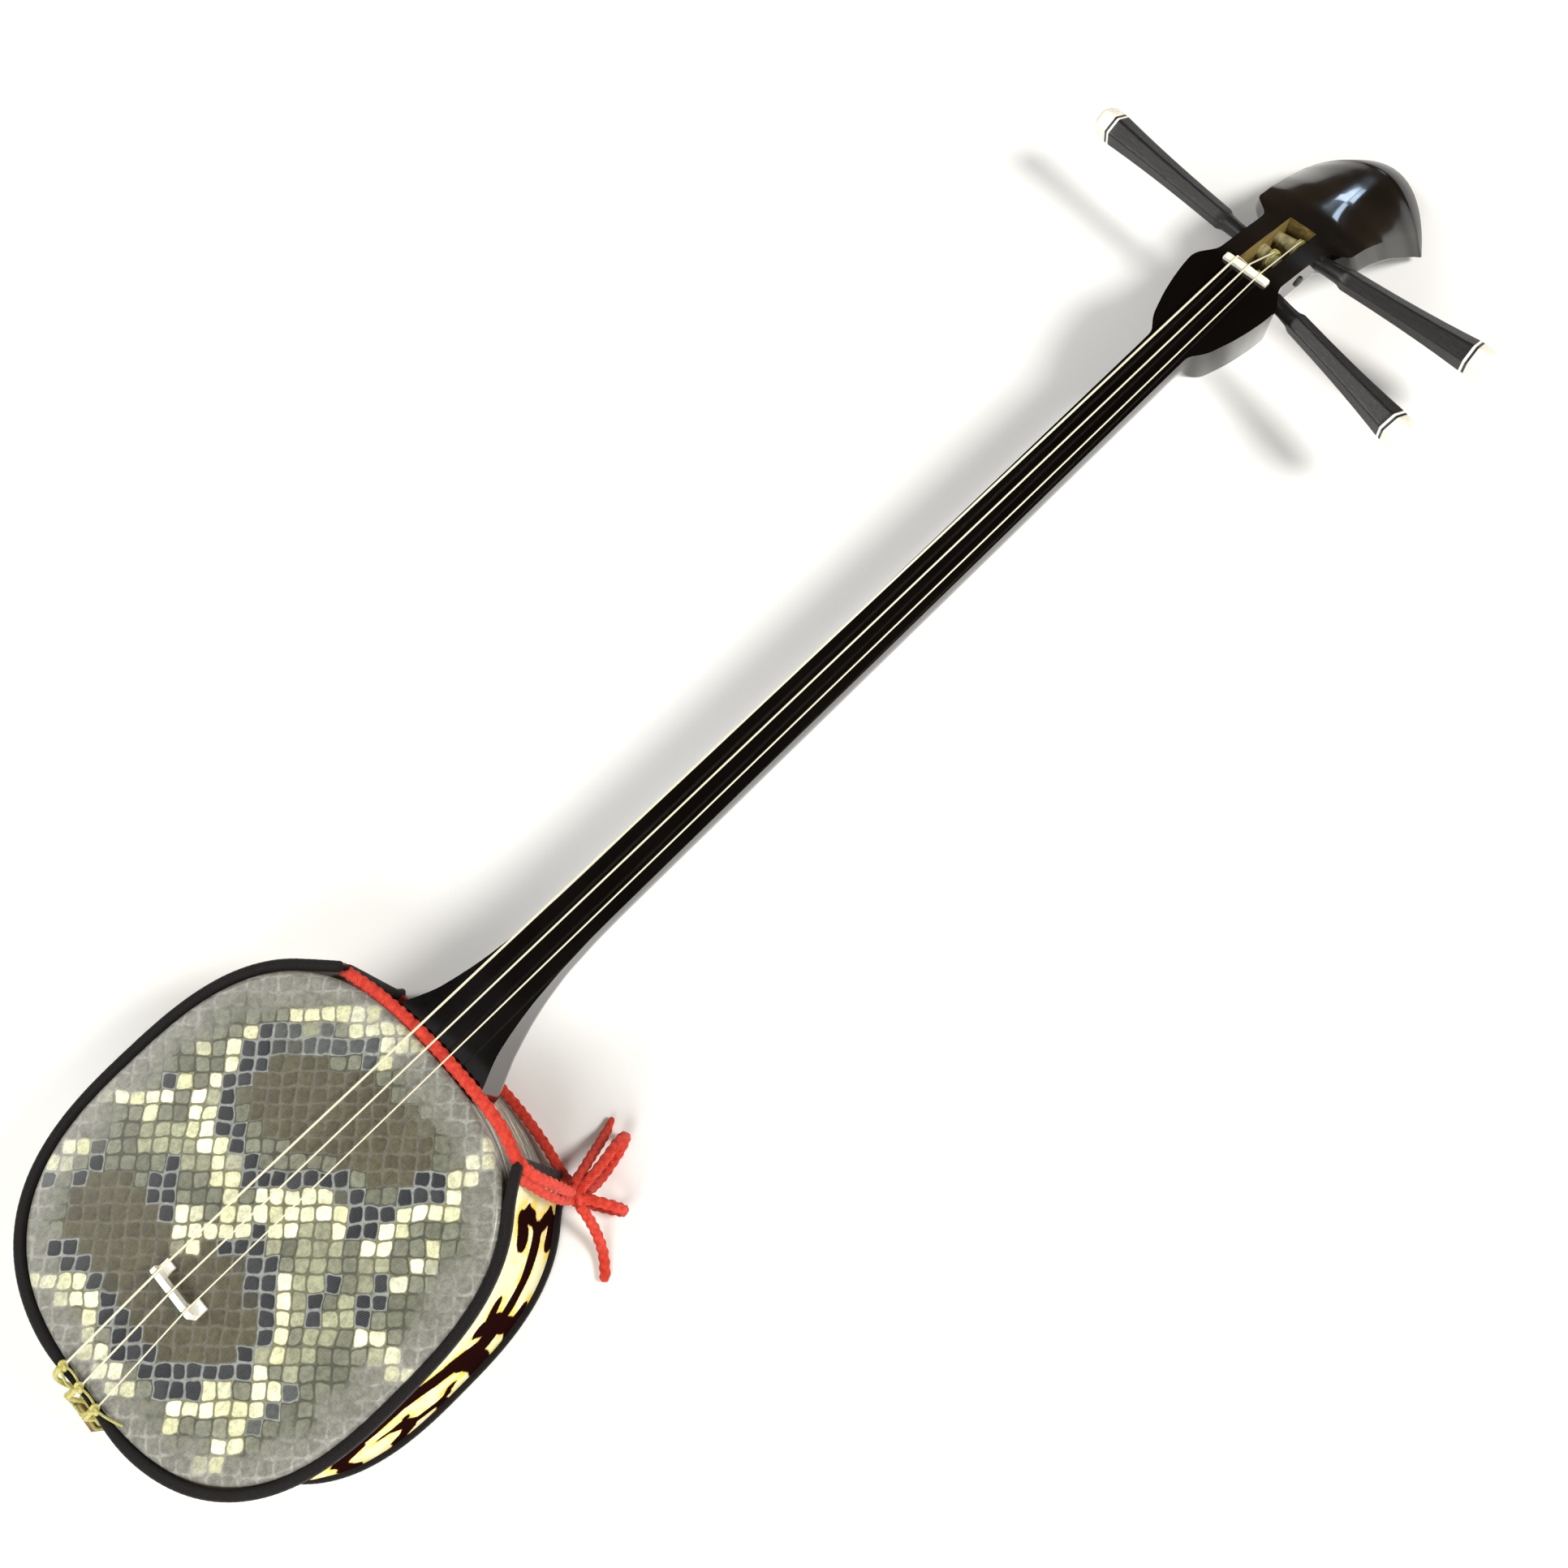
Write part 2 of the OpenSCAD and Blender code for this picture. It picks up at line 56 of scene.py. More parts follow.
CAMERA_LENS = 36.27  # mm, on a sensor 36 mm wide
CAMERA_PLACE = (0.17885, -0.2253, 0.667)
CAMERA_TURN = Vector((2.573, -1.084, -0.002))  # an axis, as long as the angle about it

HEAD_TOP = (0.641, -0.001, 0.039)
SKY = (0.62, 0.80, 1.0)
WHITE = (1, 1, 1)
# name, place, target, size, power, colour and, for a rectangular light, its height
LIGHTS = [
    ("key", (0.95, -1.05, 1.3), (0.3, 0, 0), 0.5, 27, (1, 0.98, 0.95)),
    ("fill", (-0.9, -0.9, 1.3), (0.2, 0, 0), 1.3, 22, WHITE),
    ("back", (-0.6, 1.5, 1.4), (0.2, 0, 0), 1.5, 30, WHITE),
    ("ceiling", (-0.95, 0.6, 2.0), (-0.95, 0.6, 0), 1.7, 4, WHITE),
    # a window with a broken view, small enough to show on the curved head only
    ("window", (1.742, 0.301, 0.375), HEAD_TOP, 0.12, 0.5, SKY, 0.085),
    ("window_side", (1.763, 0.205, 0.36), HEAD_TOP, 0.06, 0.12, SKY, 0.045),
    ("window_top", (1.735, 0.235, 0.45), HEAD_TOP, 0.05, 0.09, SKY, 0.05),
]


def camera():
    cam = bpy.data.cameras.new("camera")
    cam.sensor_width = 36
    cam.lens = CAMERA_LENS
    cam.clip_start = 0.01
    obj = new_object("camera", cam)
    world_to_cam = Matrix.Rotation(CAMERA_TURN.length, 3, CAMERA_TURN.normalized())
    rotation = world_to_cam.transposed() @ Matrix.Diagonal((1, -1, -1))
    obj.matrix_world = Matrix.Translation(CAMERA_PLACE) @ rotation.to_4x4()
    bpy.context.scene.camera = obj


def area_light(name, place, target, size, power, colour, height=None):
    """A round light, or with a height a rectangular one."""
    data = bpy.data.lights.new(name, "AREA")
    data.shape = "RECTANGLE" if height else "DISK"
    data.size = size
    if height:
        data.size_y = height
    data.energy = power
    data.color = colour
    obj = new_object(name, data)
    direction = Vector(target) - Vector(place)
    obj.location = place
    obj.rotation_euler = direction.to_track_quat("-Z", "Y").to_euler()


def studio():
    scene = bpy.context.scene
    scene.view_settings.view_transform = "Standard"
    scene.view_settings.look = "None"
    # a room with a bright side towards -Y, a brown dusk towards +X and a dim ceiling
    world = bpy.data.worlds.new("world")
    world.use_nodes = True
    tree = world.node_tree
    place = tree.nodes.new("ShaderNodeTexCoord").outputs["Generated"]

    def fade(value, low, high, to_low, to_high):
        node = tree.nodes.new("ShaderNodeMapRange")
        node.interpolation_type = "SMOOTHSTEP"
        tree.links.new(value, node.inputs[0])
        for socket, v in zip(list(node.inputs)[1:], (low, high, to_low, to_high)):
            socket.default_value = v
        return node.outputs[0]

    def towards(direction):
        node = tree.nodes.new("ShaderNodeVectorMath")
        node.operation = "DOT_PRODUCT"
        tree.links.new(place, node.inputs[0])
        node.inputs[1].default_value = direction
        return node.outputs["Value"]

    product = tree.nodes.new("ShaderNodeMath")
    product.operation = "MULTIPLY"
    tree.links.new(fade(towards((0, 0, 1)), 0.2, 0.75, 0.85, 0.09), product.inputs[0])
    tree.links.new(fade(towards((-0.55, -0.83, 0)), -0.5, 0.5, 0.2, 1.0), product.inputs[1])
    tint = tree.nodes.new("ShaderNodeMix")
    tint.data_type = "RGBA"
    tree.links.new(fade(towards((0.9, 0.3, 0)), -0.1, 0.7, 0.0, 1.0), tint.inputs[0])
    tint.inputs[6].default_value = (1, 0.99, 0.96, 1)
    tint.inputs[7].default_value = (1, 0.72, 0.45, 1)
    background = tree.nodes["Background"]
    tree.links.new(product.outputs[0], background.inputs["Strength"])
    tree.links.new(tint.outputs[2], background.inputs["Color"])
    scene.world = world
    for row in LIGHTS:
        area_light(*row)


# ---------------- materials

class Shader:
    """A procedural material, with short names for the nodes it uses."""

    def __init__(self, name, **inputs):
        self.material = bpy.data.materials.new(name)
        self.material.use_nodes = True
        self.tree = self.material.node_tree
        self.tree.nodes.clear()
        self.bsdf = self.node("ShaderNodeBsdfPrincipled")
        out = self.node("ShaderNodeOutputMaterial")
        self.tree.links.new(self.bsdf.outputs[0], out.inputs[0])
        for key, value in inputs.items():
            self.set(key.replace("_", " "), value)

    def node(self, kind, **settings):
        node = self.tree.nodes.new(kind)
        for key, value in settings.items():
            setattr(node, key, value)
        return node

    def put(self, socket, value):
        if isinstance(value, bpy.types.NodeSocket):
            self.tree.links.new(value, socket)
        elif hasattr(value, "__len__") and socket.type == "RGBA" and len(value) == 3:
            socket.default_value = (*value, 1)
        else:
            socket.default_value = value

    def set(self, name, value):
        self.put(self.bsdf.inputs[name], value)

    def place(self):
        return self.node("ShaderNodeTexCoord").outputs["Object"]

    def flat(self):
        """The piece's own unrolled coordinates, in metres."""
        return self.node("ShaderNodeAttribute", attribute_name="flat").outputs["Vector"]

    def math(self, operation, *values):
        node = self.node("ShaderNodeMath", operation=operation)
        for socket, value in zip(node.inputs, values):
            self.put(socket, value)
        return node.outputs[0]

    def add(self, a, b):
        return self.math("ADD", a, b)

    def minus(self, a, b):
        return self.math("SUBTRACT", a, b)

    def times(self, a, b):
        return self.math("MULTIPLY", a, b)

    def vector(self, operation, a, b=None, scale=None):
        node = self.node("ShaderNodeVectorMath", operation=operation)
        self.put(node.inputs[0], a)
        if b is not None:
            self.put(node.inputs[1], b)
        if scale is not None:
            self.put(node.inputs["Scale"], scale)
        return node.outputs["Value" if operation in ("LENGTH", "DOT_PRODUCT", "DISTANCE") else "Vector"]

    def split(self, vector):
        node = self.node("ShaderNodeSeparateXYZ")
        self.put(node.inputs[0], vector)
        return node.outputs[0], node.outputs[1], node.outputs[2]

    def join(self, x, y, z=0.0):
        node = self.node("ShaderNodeCombineXYZ")
        for socket, value in zip(node.inputs, (x, y, z)):
            self.put(socket, value)
        return node.outputs[0]

    def mix(self, factor, a, b):
        node = self.node("ShaderNodeMix", data_type="RGBA")
        self.put(node.inputs[0], factor)
        self.put(node.inputs[6], a)
        self.put(node.inputs[7], b)
        return node.outputs[2]

    def between(self, value, low, high, to_low=0.0, to_high=1.0):
        node = self.node("ShaderNodeMapRange", interpolation_type="SMOOTHSTEP")
        for socket, v in zip(node.inputs, (value, low, high, to_low, to_high)):
            self.put(socket, v)
        return node.outputs[0]

    def noise(self, vector, scale, detail=3.0, roughness=0.5, distortion=0.0):
        node = self.node("ShaderNodeTexNoise")
        for key, value in (("Vector", vector), ("Scale", scale), ("Detail", detail),
                           ("Roughness", roughness), ("Distortion", distortion)):
            self.put(node.inputs[key], value)
        return node.outputs["Fac"]

    def stretched(self, vector, x, y, z):
        return self.vector("MULTIPLY", vector, (x, y, z))

    def bump(self, height, distance):
        node = self.node("ShaderNodeBump")
        self.put(node.inputs["Height"], height)
        self.put(node.inputs["Distance"], distance)
        self.set("Normal", node.outputs[0])


def lacquer(name):
    s = Shader(name, Specular_IOR_Level=0.28, Coat_Roughness=0.04, IOR=1.45)
    p = s.place()
    cloud = s.noise(p, 28, 3)
    s.set("Base Color", s.mix(cloud, (0.0012, 0.001, 0.001), (0.005, 0.0036, 0.0028)))
    rubbed = s.noise(s.stretched(p, 40, 500, 500), 1, 2)
    s.set("Roughness", s.between(s.add(s.times(rubbed, 0.4), cloud), 0.4, 1.0, 0.09, 0.2))
    # handled most, the top of the head's end has lost some of its shine
    up = s.split(s.node("ShaderNodeNewGeometry").outputs["Normal"])[2]
    dull = s.times(s.between(s.split(p)[0], 0.644, 0.660), s.between(up, 0.2, 0.45))
    s.set("Coat Weight", s.between(dull, 0, 1, 0.6, 0.08))
    s.bump(s.add(s.noise(p, 90, 2), s.times(rubbed, 0.05)), 0.00005)
    return s.material


def wood(name, dark, light):
    s = Shader(name)
    p = s.place()
    grain = s.noise(s.stretched(p, 25, 260, 260), 1, 5, 0.6, 0.4)
    fine = s.noise(s.stretched(p, 90, 1500, 1500), 1, 2)
    s.set("Base Color", s.mix(s.between(grain, 0.3, 0.7), dark, light))
    s.set("Roughness", s.between(fine, 0.2, 0.8, 0.45, 0.7))
    s.bump(s.add(grain, fine), 0.0001)
    return s.material


def ebony(name):
    s = Shader(name, Specular_IOR_Level=0.4)
    p = s.place()
    grain = s.noise(s.stretched(p, 700, 60, 700), 1, 4, 0.6)
    pores = s.noise(s.stretched(p, 2600, 240, 2600), 1, 2)
    s.set("Base Color", s.mix(grain, (0.005, 0.0045, 0.0045), (0.02, 0.0175, 0.016)))
    s.set("Roughness", s.between(pores, 0.25, 0.75, 0.26, 0.42))
    s.bump(s.add(s.times(grain, 0.6), pores), 0.00006)
    return s.material


def ivory(name, tone):
    s = Shader(name, Subsurface_Weight=0.15, Subsurface_Scale=0.002, IOR=1.5)
    p = s.place()
    rings = s.noise(s.stretched(p, 400, 400, 400), 1, 4, 0.6, 1.5)
    paler = tuple(min(1, c * 1.07) for c in tone)
    s.set("Base Color", s.mix(rings, tuple(c * 0.9 for c in tone), paler))
    s.set("Roughness", s.between(s.noise(p, 900), 0.3, 0.7, 0.2, 0.34))
    s.bump(rings, 0.00004)
    return s.material


def inlay(name, dark, light):
    s = Shader(name)
    p = s.place()
    s.set("Base Color", s.mix(s.noise(p, 700), dark, light))
    s.set("Roughness", s.between(s.noise(p, 1500), 0.3, 0.7, 0.25, 0.4))
    s.bump(s.noise(p, 2200), 0.00003)
    return s.material


def cloth(name, dark, light, pitch, roughness, sheen):
    """Plain woven or rolled cloth with a visible weave."""
    s = Shader(name, Sheen_Weight=sheen, Sheen_Roughness=0.5, Specular_IOR_Level=0.2)
    p = s.flat()
    x, y, _ = s.split(p)
    k = 2 * math.pi / pitch
    weave = s.times(s.math("SINE", s.times(x, k)), s.math("SINE", s.times(y, k)))
    cloud = s.noise(s.place(), 160, 4)
    s.set("Base Color", s.mix(s.add(s.times(weave, 0.15), cloud), dark, light))
    s.set("Roughness", s.between(cloud, 0.3, 0.7, roughness - 0.08, roughness + 0.08))
    s.bump(s.add(weave, s.times(cloud, 0.8)), 0.00012)
    return s.material


def threads(name, dark, light, pitch, roughness, sheen):
    """Cord made of fine threads that run at a slant across its flat coordinates."""
    s = Shader(name, Sheen_Weight=sheen, Sheen_Roughness=0.4, Specular_IOR_Level=0.3)
    x, y, _ = s.split(s.flat())
    k = 2 * math.pi / pitch
    line = s.math("SINE", s.times(s.add(x, s.times(y, 0.8)), k))
    cloud = s.noise(s.place(), 500, 3)
    tone = s.add(s.times(line, 0.18), cloud)
    s.set("Base Color", s.mix(s.between(tone, 0.2, 0.8), dark, light))
    s.set("Roughness", s.between(cloud, 0.3, 0.7, roughness - 0.08, roughness + 0.08))
    s.bump(s.add(line, cloud), 0.0001)
    return s.material


def capsules(s, point, shapes, after=None):
    """Signed distance from a point to the nearest of some capsules, each two ends and a radius. Each
    step waits for the one before it, and the first for after, so that few values are held at once."""
    best = None
    for px, py, qx, qy, r in shapes:
        if after is not None:
            point = s.vector("ADD", point, s.vector("SCALE", (1, 1, 0), scale=s.times(after, 1e-7)))
        rel = s.vector("SUBTRACT", point, (px, py, 0))
        if (px, py) != (qx, qy):
            along = (qx - px, qy - py)
            t = s.node("ShaderNodeMath", operation="MULTIPLY", use_clamp=True)
            s.put(t.inputs[0], s.vector("DOT_PRODUCT", rel, (*along, 0)))
            s.put(t.inputs[1], 1 / (along[0] ** 2 + along[1] ** 2))
            rel = s.vector("SUBTRACT", rel, s.vector("SCALE", (*along, 0), scale=t.outputs[0]))
        d = s.minus(s.vector("LENGTH", rel), r)
        best = d if best is None else s.math("MINIMUM", best, d)
        after = best
    return best


# The skin's printed pattern, in millimetres on the body's flat face: two olive saddles, the dark
# scales beside them, the cream chains that cross the face and the paler ground between. Each row
# is a capsule: x and y of its two ends, and its radius
SADDLES = [
    (-44, 46, -44, -18, 16), (-31, 4, -27, -14, 11), (-37, -20, -35, -26, 10),
    (38, 31, 46, 8, 17.5), (49, 8, 54, -18, 16),
]
DARK = [
    (-64, 48, -64, 12, 5.5), (-66, 12, -66, -22, 5), (-64, -18, -52, -32, 6),
    (-50, -35, -42, -40, 4.5), (-42, -38, -26, -37, 3.6), (-26, -34, -20, -27, 3.4),
    (-15, -22, -7, -3, 6.2), (-22, 1, -14, 0, 3), (-21, 42, -24, 26, 4.6), (-13, 45, -18, 36, 3.6),
    (-46, 64, -30, 65, 3.8), (13, 44, 9, 30, 6.2), (9, 30, 8, 16, 5.8), (9, 13, 16, 5, 4.8),
    (14, 47, 44, 47, 4.2), (37, 54, 47, 54, 3.5), (18, 1, 27, -6, 4.3), (27, -8, 31, -20, 5.8),
    (30, -20, 30, -34, 5.8), (30, -35, 56, -40, 5.2), (50, -38, 58, -44, 4.8),
    (-8, -46, -4, -42, 4.4), (4, -41, 5, -41, 4.4), (9, -57, 19, -57, 4), (-2, 70, 4, 67, 3.2),
    (5, -64, 6, -64, 3.6),
]
FADED = [(50, 48, 58, 40, 4), (58, 40, 72, 16, 4.6), (-46, -57, -34, -57, 3.8), (-57, 71, -53, 71, 3)]
CHAINS = [
    (-25, 14, -8, 4, 5.2), (-8, 4, 4, 2, 4.8), (3, 0, 16, -8, 5), (16, -8, 23, -16, 5),
    (22, -16, 20, -27, 4.5), (-20, 22, -21, 16, 4), (-2, 17, -4, 8, 4.3), (-1, 18, 4, 28, 4),
    (4, 28, 3, 40, 3.8), (3, 40, 12, 54, 4), (12, 54, 28, 54, 3.8), (28, 57, 46, 60, 3.4),
    (62, 49, 66, 42, 4.8), (66, 44, 80, 28, 5.6), (80, 28, 84, 12, 5.4), (76, 12, 84, 6, 4.5),
    (23, -41, 44, -44, 4.3), (44, -45, 52, -50, 4.4), (52, -50, 84, -48, 4.3),
    (27, -59, 39, -60, 3.8), (-68, -34, -58, -36, 3.8), (-58, -37, -48, -48, 4.6),
    (-54, -52, -36, -52, 4), (-36, -46, -24, -44, 3.8), (-24, -44, -16, -34, 4.5),
    (-16, -34, -9, -28, 4.6), (-68, -57, -54, -55, 3.8), (-80, 42, -68, 30, 4.3),
    (-68, 30, -68, 22, 4.3), (-71, 20, -76, 8, 4.3), (-76, 8, -78, -10, 4.3), (-13, 82, -8, 68, 4),
    (-8, 68, -4, 64, 4), (3, 64, 12, 64, 3.4), (24, 72, 24, 72, 3.8), (-46, 77, -32, 71, 3.8),
    (2, -64, 7, -74, 3.8), (7, -74, 2, -86, 3.8), (1, -12, 4, -12, 4),
]
PALE_GROUND = [
    (-12, 56, -2, 34, 8), (-10, -36, 14, -26, 8), (-24, -54, 22, -50, 5), (8, -14, 14, -22, 5),
]
SCALE_SIDE = 6.4


def snakeskin(name):
    s = Shader(name, Specular_IOR_Level=0.25, Coat_Weight=0.25, Coat_Roughness=0.16)
    x, y, _ = s.split(s.vector("SCALE", s.flat(), scale=1000.0))
    wobble = s.noise(s.join(x, y), 0.09, 2)
    wobble2 = s.noise(s.join(y, x, 7.0), 0.08, 2)
    # rows of scales at 45 degrees to the neck
    a = s.add(s.math("DIVIDE", s.add(x, y), SCALE_SIDE * math.sqrt(2)), s.times(wobble, 0.7))
    b = s.add(s.math("DIVIDE", s.minus(x, y), SCALE_SIDE * math.sqrt(2)), s.times(wobble2, 0.7))
    ca, cb = s.math("FLOOR", a), s.math("FLOOR", b)
    fa = s.minus(s.minus(a, ca), 0.5)
    fb = s.minus(s.minus(b, cb), 0.5)
    white = s.node("ShaderNodeTexWhiteNoise", noise_dimensions="2D")
    s.put(white.inputs["Vector"], s.join(ca, cb))
    chance = white.outputs["Value"]
    # the middle of the scale, back in millimetres, less the wobble's mean
    half = SCALE_SIDE / math.sqrt(2)
    ma = s.minus(s.add(ca, 0.5), 0.35)
    mb = s.minus(s.add(cb, 0.5), 0.35)
    middle = s.join(s.times(s.add(ma, mb), half), s.times(s.minus(ma, mb), half))
    jitter = s.times(s.minus(chance, 0.5), 1.6)

    marks, after = [], None
    for shapes in (SADDLES, DARK, FADED, CHAINS, PALE_GROUND):
        marks.append(s.between(s.add(capsules(s, middle, shapes, after), jitter), 0.5, -0.5))
        after = marks[-1]
    is_olive, is_dark, is_faded, is_pale, is_light = marks
    # how close this point is to the scale's rounded edge
    aa, ab = s.math("ABSOLUTE", fa), s.math("ABSOLUTE", fb)
    edge = s.math("POWER", s.add(s.math("POWER", aa, 5.0), s.math("POWER", ab, 5.0)), 0.2)
    gap = s.between(edge, 0.385, 0.465)
    # near the rim the scales fade into a grey haze
    reach = s.math("POWER", s.add(s.math("POWER", s.math("ABSOLUTE", x), 3.0),
                                  s.math("POWER", s.math("ABSOLUTE", y), 3.0)), 1 / 3)
    haze = s.between(s.add(reach, s.times(wobble, 26.0)), 80.0, 98.0)
    face = s.mix(chance, (0.115, 0.118, 0.078), (0.20, 0.205, 0.145))
    face = s.mix(s.times(is_light, s.between(chance, 0, 1, 0.5, 1)), face, (0.36, 0.37, 0.23))
    face = s.mix(haze, face, (0.192, 0.188, 0.158))
    face = s.mix(is_olive, face, s.mix(chance, (0.064, 0.056, 0.030), (0.088, 0.079, 0.042)))
    face = s.mix(is_faded, face, (0.065, 0.07, 0.068))
    face = s.mix(is_dark, face, s.mix(chance, (0.009, 0.010, 0.013), (0.030, 0.031, 0.034)))
    cream = s.mix(chance, (0.60, 0.60, 0.35), (0.90, 0.90, 0.66))
    face = s.mix(s.times(is_pale, s.between(haze, 0, 1, 1, 0.65)), face, cream)
    line = s.mix(is_light, (0.062, 0.062, 0.040), (0.12, 0.12, 0.07))
    line = s.mix(is_olive, line, (0.112, 0.105, 0.075))
    line = s.mix(s.math("MAXIMUM", is_dark, is_faded), line, (0.22, 0.235, 0.215))
    line = s.mix(is_pale, line, (0.17, 0.165, 0.085))
    line = s.mix(s.times(haze, 0.75), line, (0.35, 0.345, 0.305))
    colour = s.mix(gap, face, line)
    # past the rim the side is streaked
    streak = s.noise(s.join(s.times(reach, 0.55), s.times(x, 0.03), s.times(y, 0.03)), 1, 3, 0.6, 0.6)
    side = s.mix(s.between(streak, 0.35, 0.52), (0.12, 0.118, 0.09), (0.20, 0.195, 0.15))
    side = s.mix(s.between(streak, 0.56, 0.62), side, (0.72, 0.70, 0.58))
    colour = s.mix(s.between(reach, 89.0, 91.5), colour, side)
    # blotches of the print, and the fine slanting ribs of the cloth below it, whose relief is also painted
    # into the colour as shading: darker in the hollows, lighter on the crests
    mottle = s.noise(s.join(x, y, 3.0), 0.5, 5, 0.7)
    ribs = s.math("SINE", s.times(s.add(s.times(x, 0.35), y), 2 * math.pi / 0.85))
    # the print's blotches, times painted shading that follows the ribs' height
    blotch_and_rib_shade = s.add(s.between(mottle, 0.3, 0.7, 0.72, 1.28), s.times(ribs, 0.05))
    colour = s.vector("SCALE", colour, scale=blotch_and_rib_shade)
    # painted highlight: a pale tint on the ribs' crests
    colour = s.mix(s.between(ribs, 0.2, 1, 0.0, 0.05), colour, (0.7, 0.7, 0.66))
    s.set("Base Color", colour)
    s.set("Roughness", s.between(s.add(mottle, s.times(gap, 0.3)), 0.3, 0.9, 0.36, 0.6))
    dome = s.between(edge, 0.2, 0.5, 1.0, 0.0)
    s.bump(s.add(s.add(dome, s.times(ribs, 0.12)), s.times(mottle, 0.3)), 0.00014)
    return s.material


# One repeat of the band's printed scrolls, in millimetres along it and up it, where in the repeat
# the band starts and how far the print is warped
REPEAT, START, WARP = 200, 115, 2.6
SCROLLS = [
    (26, 0, 50, 55, 11), (55, 0, 71, 40, 4.6), (71, 40, 79, 54, 6), (75, 56.5, 108, 55.5, 5.5),
    (108, 53, 120, 42, 6.5), (120, 42, 130, 31, 7.5), (128, 27, 140, 27, 8.5),
    (126, 22, 122, 0, 5.5), (140, 27, 181, 27.5, 4.9), (144, 30, 143, 40, 4.8),
    (142, 41, 140.5, 45, 3.6), (145, 41, 151.5, 45, 3.4), (143, 24, 143, 13, 3.8),
    (145, 10, 149, 8, 4.2), (142, 8, 140, 4, 4), (179, 46, 179, 44, 5.2), (179, 48, 185, 50, 4.2),
    (185, 49, 188, 42, 3.4), (188, 42, 187, 34, 3), (187, 34, 182, 29, 2.6),
    (182, 27, 186, 19, 2.6), (186, 19, 189, 12, 3), (189, 12, 185, 7, 3.6), (185, 8, 179, 9, 4.6),
    (5, 33, 16, 30, 4), (5, 33, 3, 43, 3.6),
]
HOOKS = [
    (85, 36.5, 89, 35, 1.6), (91.5, 33, 92, 22, 3.4), (95, 33, 96, 36, 1.2), (92, 22, 87, 13, 3.6),
    (87, 13, 81, 9, 3.6), (81, 9, 79, 2, 3.4), (93, 18, 101, 12, 3.4), (101, 12, 107, 12, 2.6),
    (107, 12, 113, 18, 1.6), (103, 9, 101, 2, 2.6),
]
# The clear egg shape that the hooks stand in
EGG_MIDDLE, EGG_RADII = (92, 20, 0), (26.5, 28.5, 1)


def band_cloth(name):
    """Cream cloth with large dark scrolls and a golden glow round them."""
    s = Shader(name, Specular_IOR_Level=0)
    u, v, _ = s.split(s.vector("SCALE", s.flat(), scale=1000.0))
    u = s.add(u, s.times(s.minus(s.noise(s.join(u, v), 0.09, 0), 0.5), WARP))
    v = s.add(v, s.times(s.minus(s.noise(s.join(u, v, 40.0), 0.09, 0), 0.5), WARP))
    cell = s.math("MODULO", s.add(u, START), REPEAT)
    point = s.join(cell, v)
    egg = s.vector("DIVIDE", s.vector("SUBTRACT", point, EGG_MIDDLE), EGG_RADII)
    egg = s.times(s.minus(s.vector("LENGTH", egg), 1.0), 26.0)
    scroll = s.math("MAXIMUM", capsules(s, point, SCROLLS, egg), s.times(egg, -1.0))
    stroke = s.math("MINIMUM", scroll, capsules(s, point, HOOKS, scroll))
    fray = s.noise(s.join(u, v), 1.1, 3)
    stroke = s.add(stroke, s.between(fray, 0.2, 0.8, -0.35, 0.35))
    cloud = s.noise(s.join(u, v, 9.0), 0.13, 2)
    glow = s.times(s.between(stroke, 7.0, 1.5), s.between(cloud, 0.38, 0.6))
    colour = s.mix(glow, (0.88, 0.83, 0.55), (0.90, 0.70, 0.13))
    colour = s.mix(s.between(stroke, 0.9, 0.3), colour, (0.55, 0.30, 0.04))
    colour = s.mix(s.between(stroke, 0.6, 0.1), colour, (0.014, 0.0035, 0.003))
    s.set("Base Color", colour)
    wave = s.times(s.math("SINE", s.times(u, 9.0)), s.math("SINE", s.times(v, 9.0)))
    s.set("Roughness", s.between(fray, 0.3, 0.7, 0.45, 0.62))
    s.bump(wave, 0.00008)
    return s.material


MATERIALS = {name: make(name, *values) for name, make, *values in (
    ("lacquer", lacquer),
    ("raw_wood", wood, (0.17, 0.095, 0.028), (0.36, 0.225, 0.075)),
    ("slot_wood", wood, (0.11, 0.07, 0.018), (0.30, 0.22, 0.065)),
    ("worn_ebony", wood, (0.13, 0.10, 0.035), (0.38, 0.345, 0.17)),
    ("ebony", ebony),
    ("snakeskin", snakeskin),
    ("backing", cloth, (0.06, 0.035, 0.02), (0.12, 0.07, 0.04), 0.001, 0.7, 0.3),
    ("band_fabric", band_cloth),
    ("piping", cloth, (0.0015, 0.0012, 0.0012), (0.009, 0.006, 0.005), 0.0007, 0.5, 0.02),
    ("red_cord", threads, (0.50, 0.014, 0.006), (0.84, 0.075, 0.035), 0.0006, 0.7, 0.1),
    ("string", inlay, (0.60, 0.56, 0.38), (0.74, 0.71, 0.54)),
    ("tail_silk", threads, (0.86, 0.74, 0.14), (0.98, 0.94, 0.40), 0.0005, 0.45, 0.1),
    ("ivory", ivory, (0.87, 0.83, 0.70)),
    ("white_bone", ivory, (0.93, 0.91, 0.84)),
    ("line_white", inlay, (0.76, 0.75, 0.70), (0.9, 0.89, 0.85)),
    ("line_black", inlay, (0.008, 0.008, 0.008), (0.02, 0.019, 0.018)),
)}


# ---------------- building

def build(name, verts, faces, slot, replaces, body="instrument", flat=None, materials=None):
    """A mesh piece that rides on body, with its unrolled coordinates in the attribute flat."""
    mesh = bpy.data.meshes.new(name)
    mesh.from_pydata([tuple(v) for v in verts], [], faces)
    mesh.validate()
    for m in materials or [slot]:
        mesh.materials.append(MATERIALS[m])
    mesh.shade_smooth()
    layer = mesh.attributes.new("flat", "FLOAT_VECTOR", "POINT")
    for i, value in enumerate(flat or verts):
        layer.data[i].vector = tuple(value)
    obj = new_object(name, mesh)
    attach(obj, body)
    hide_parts(*replaces)
    return obj


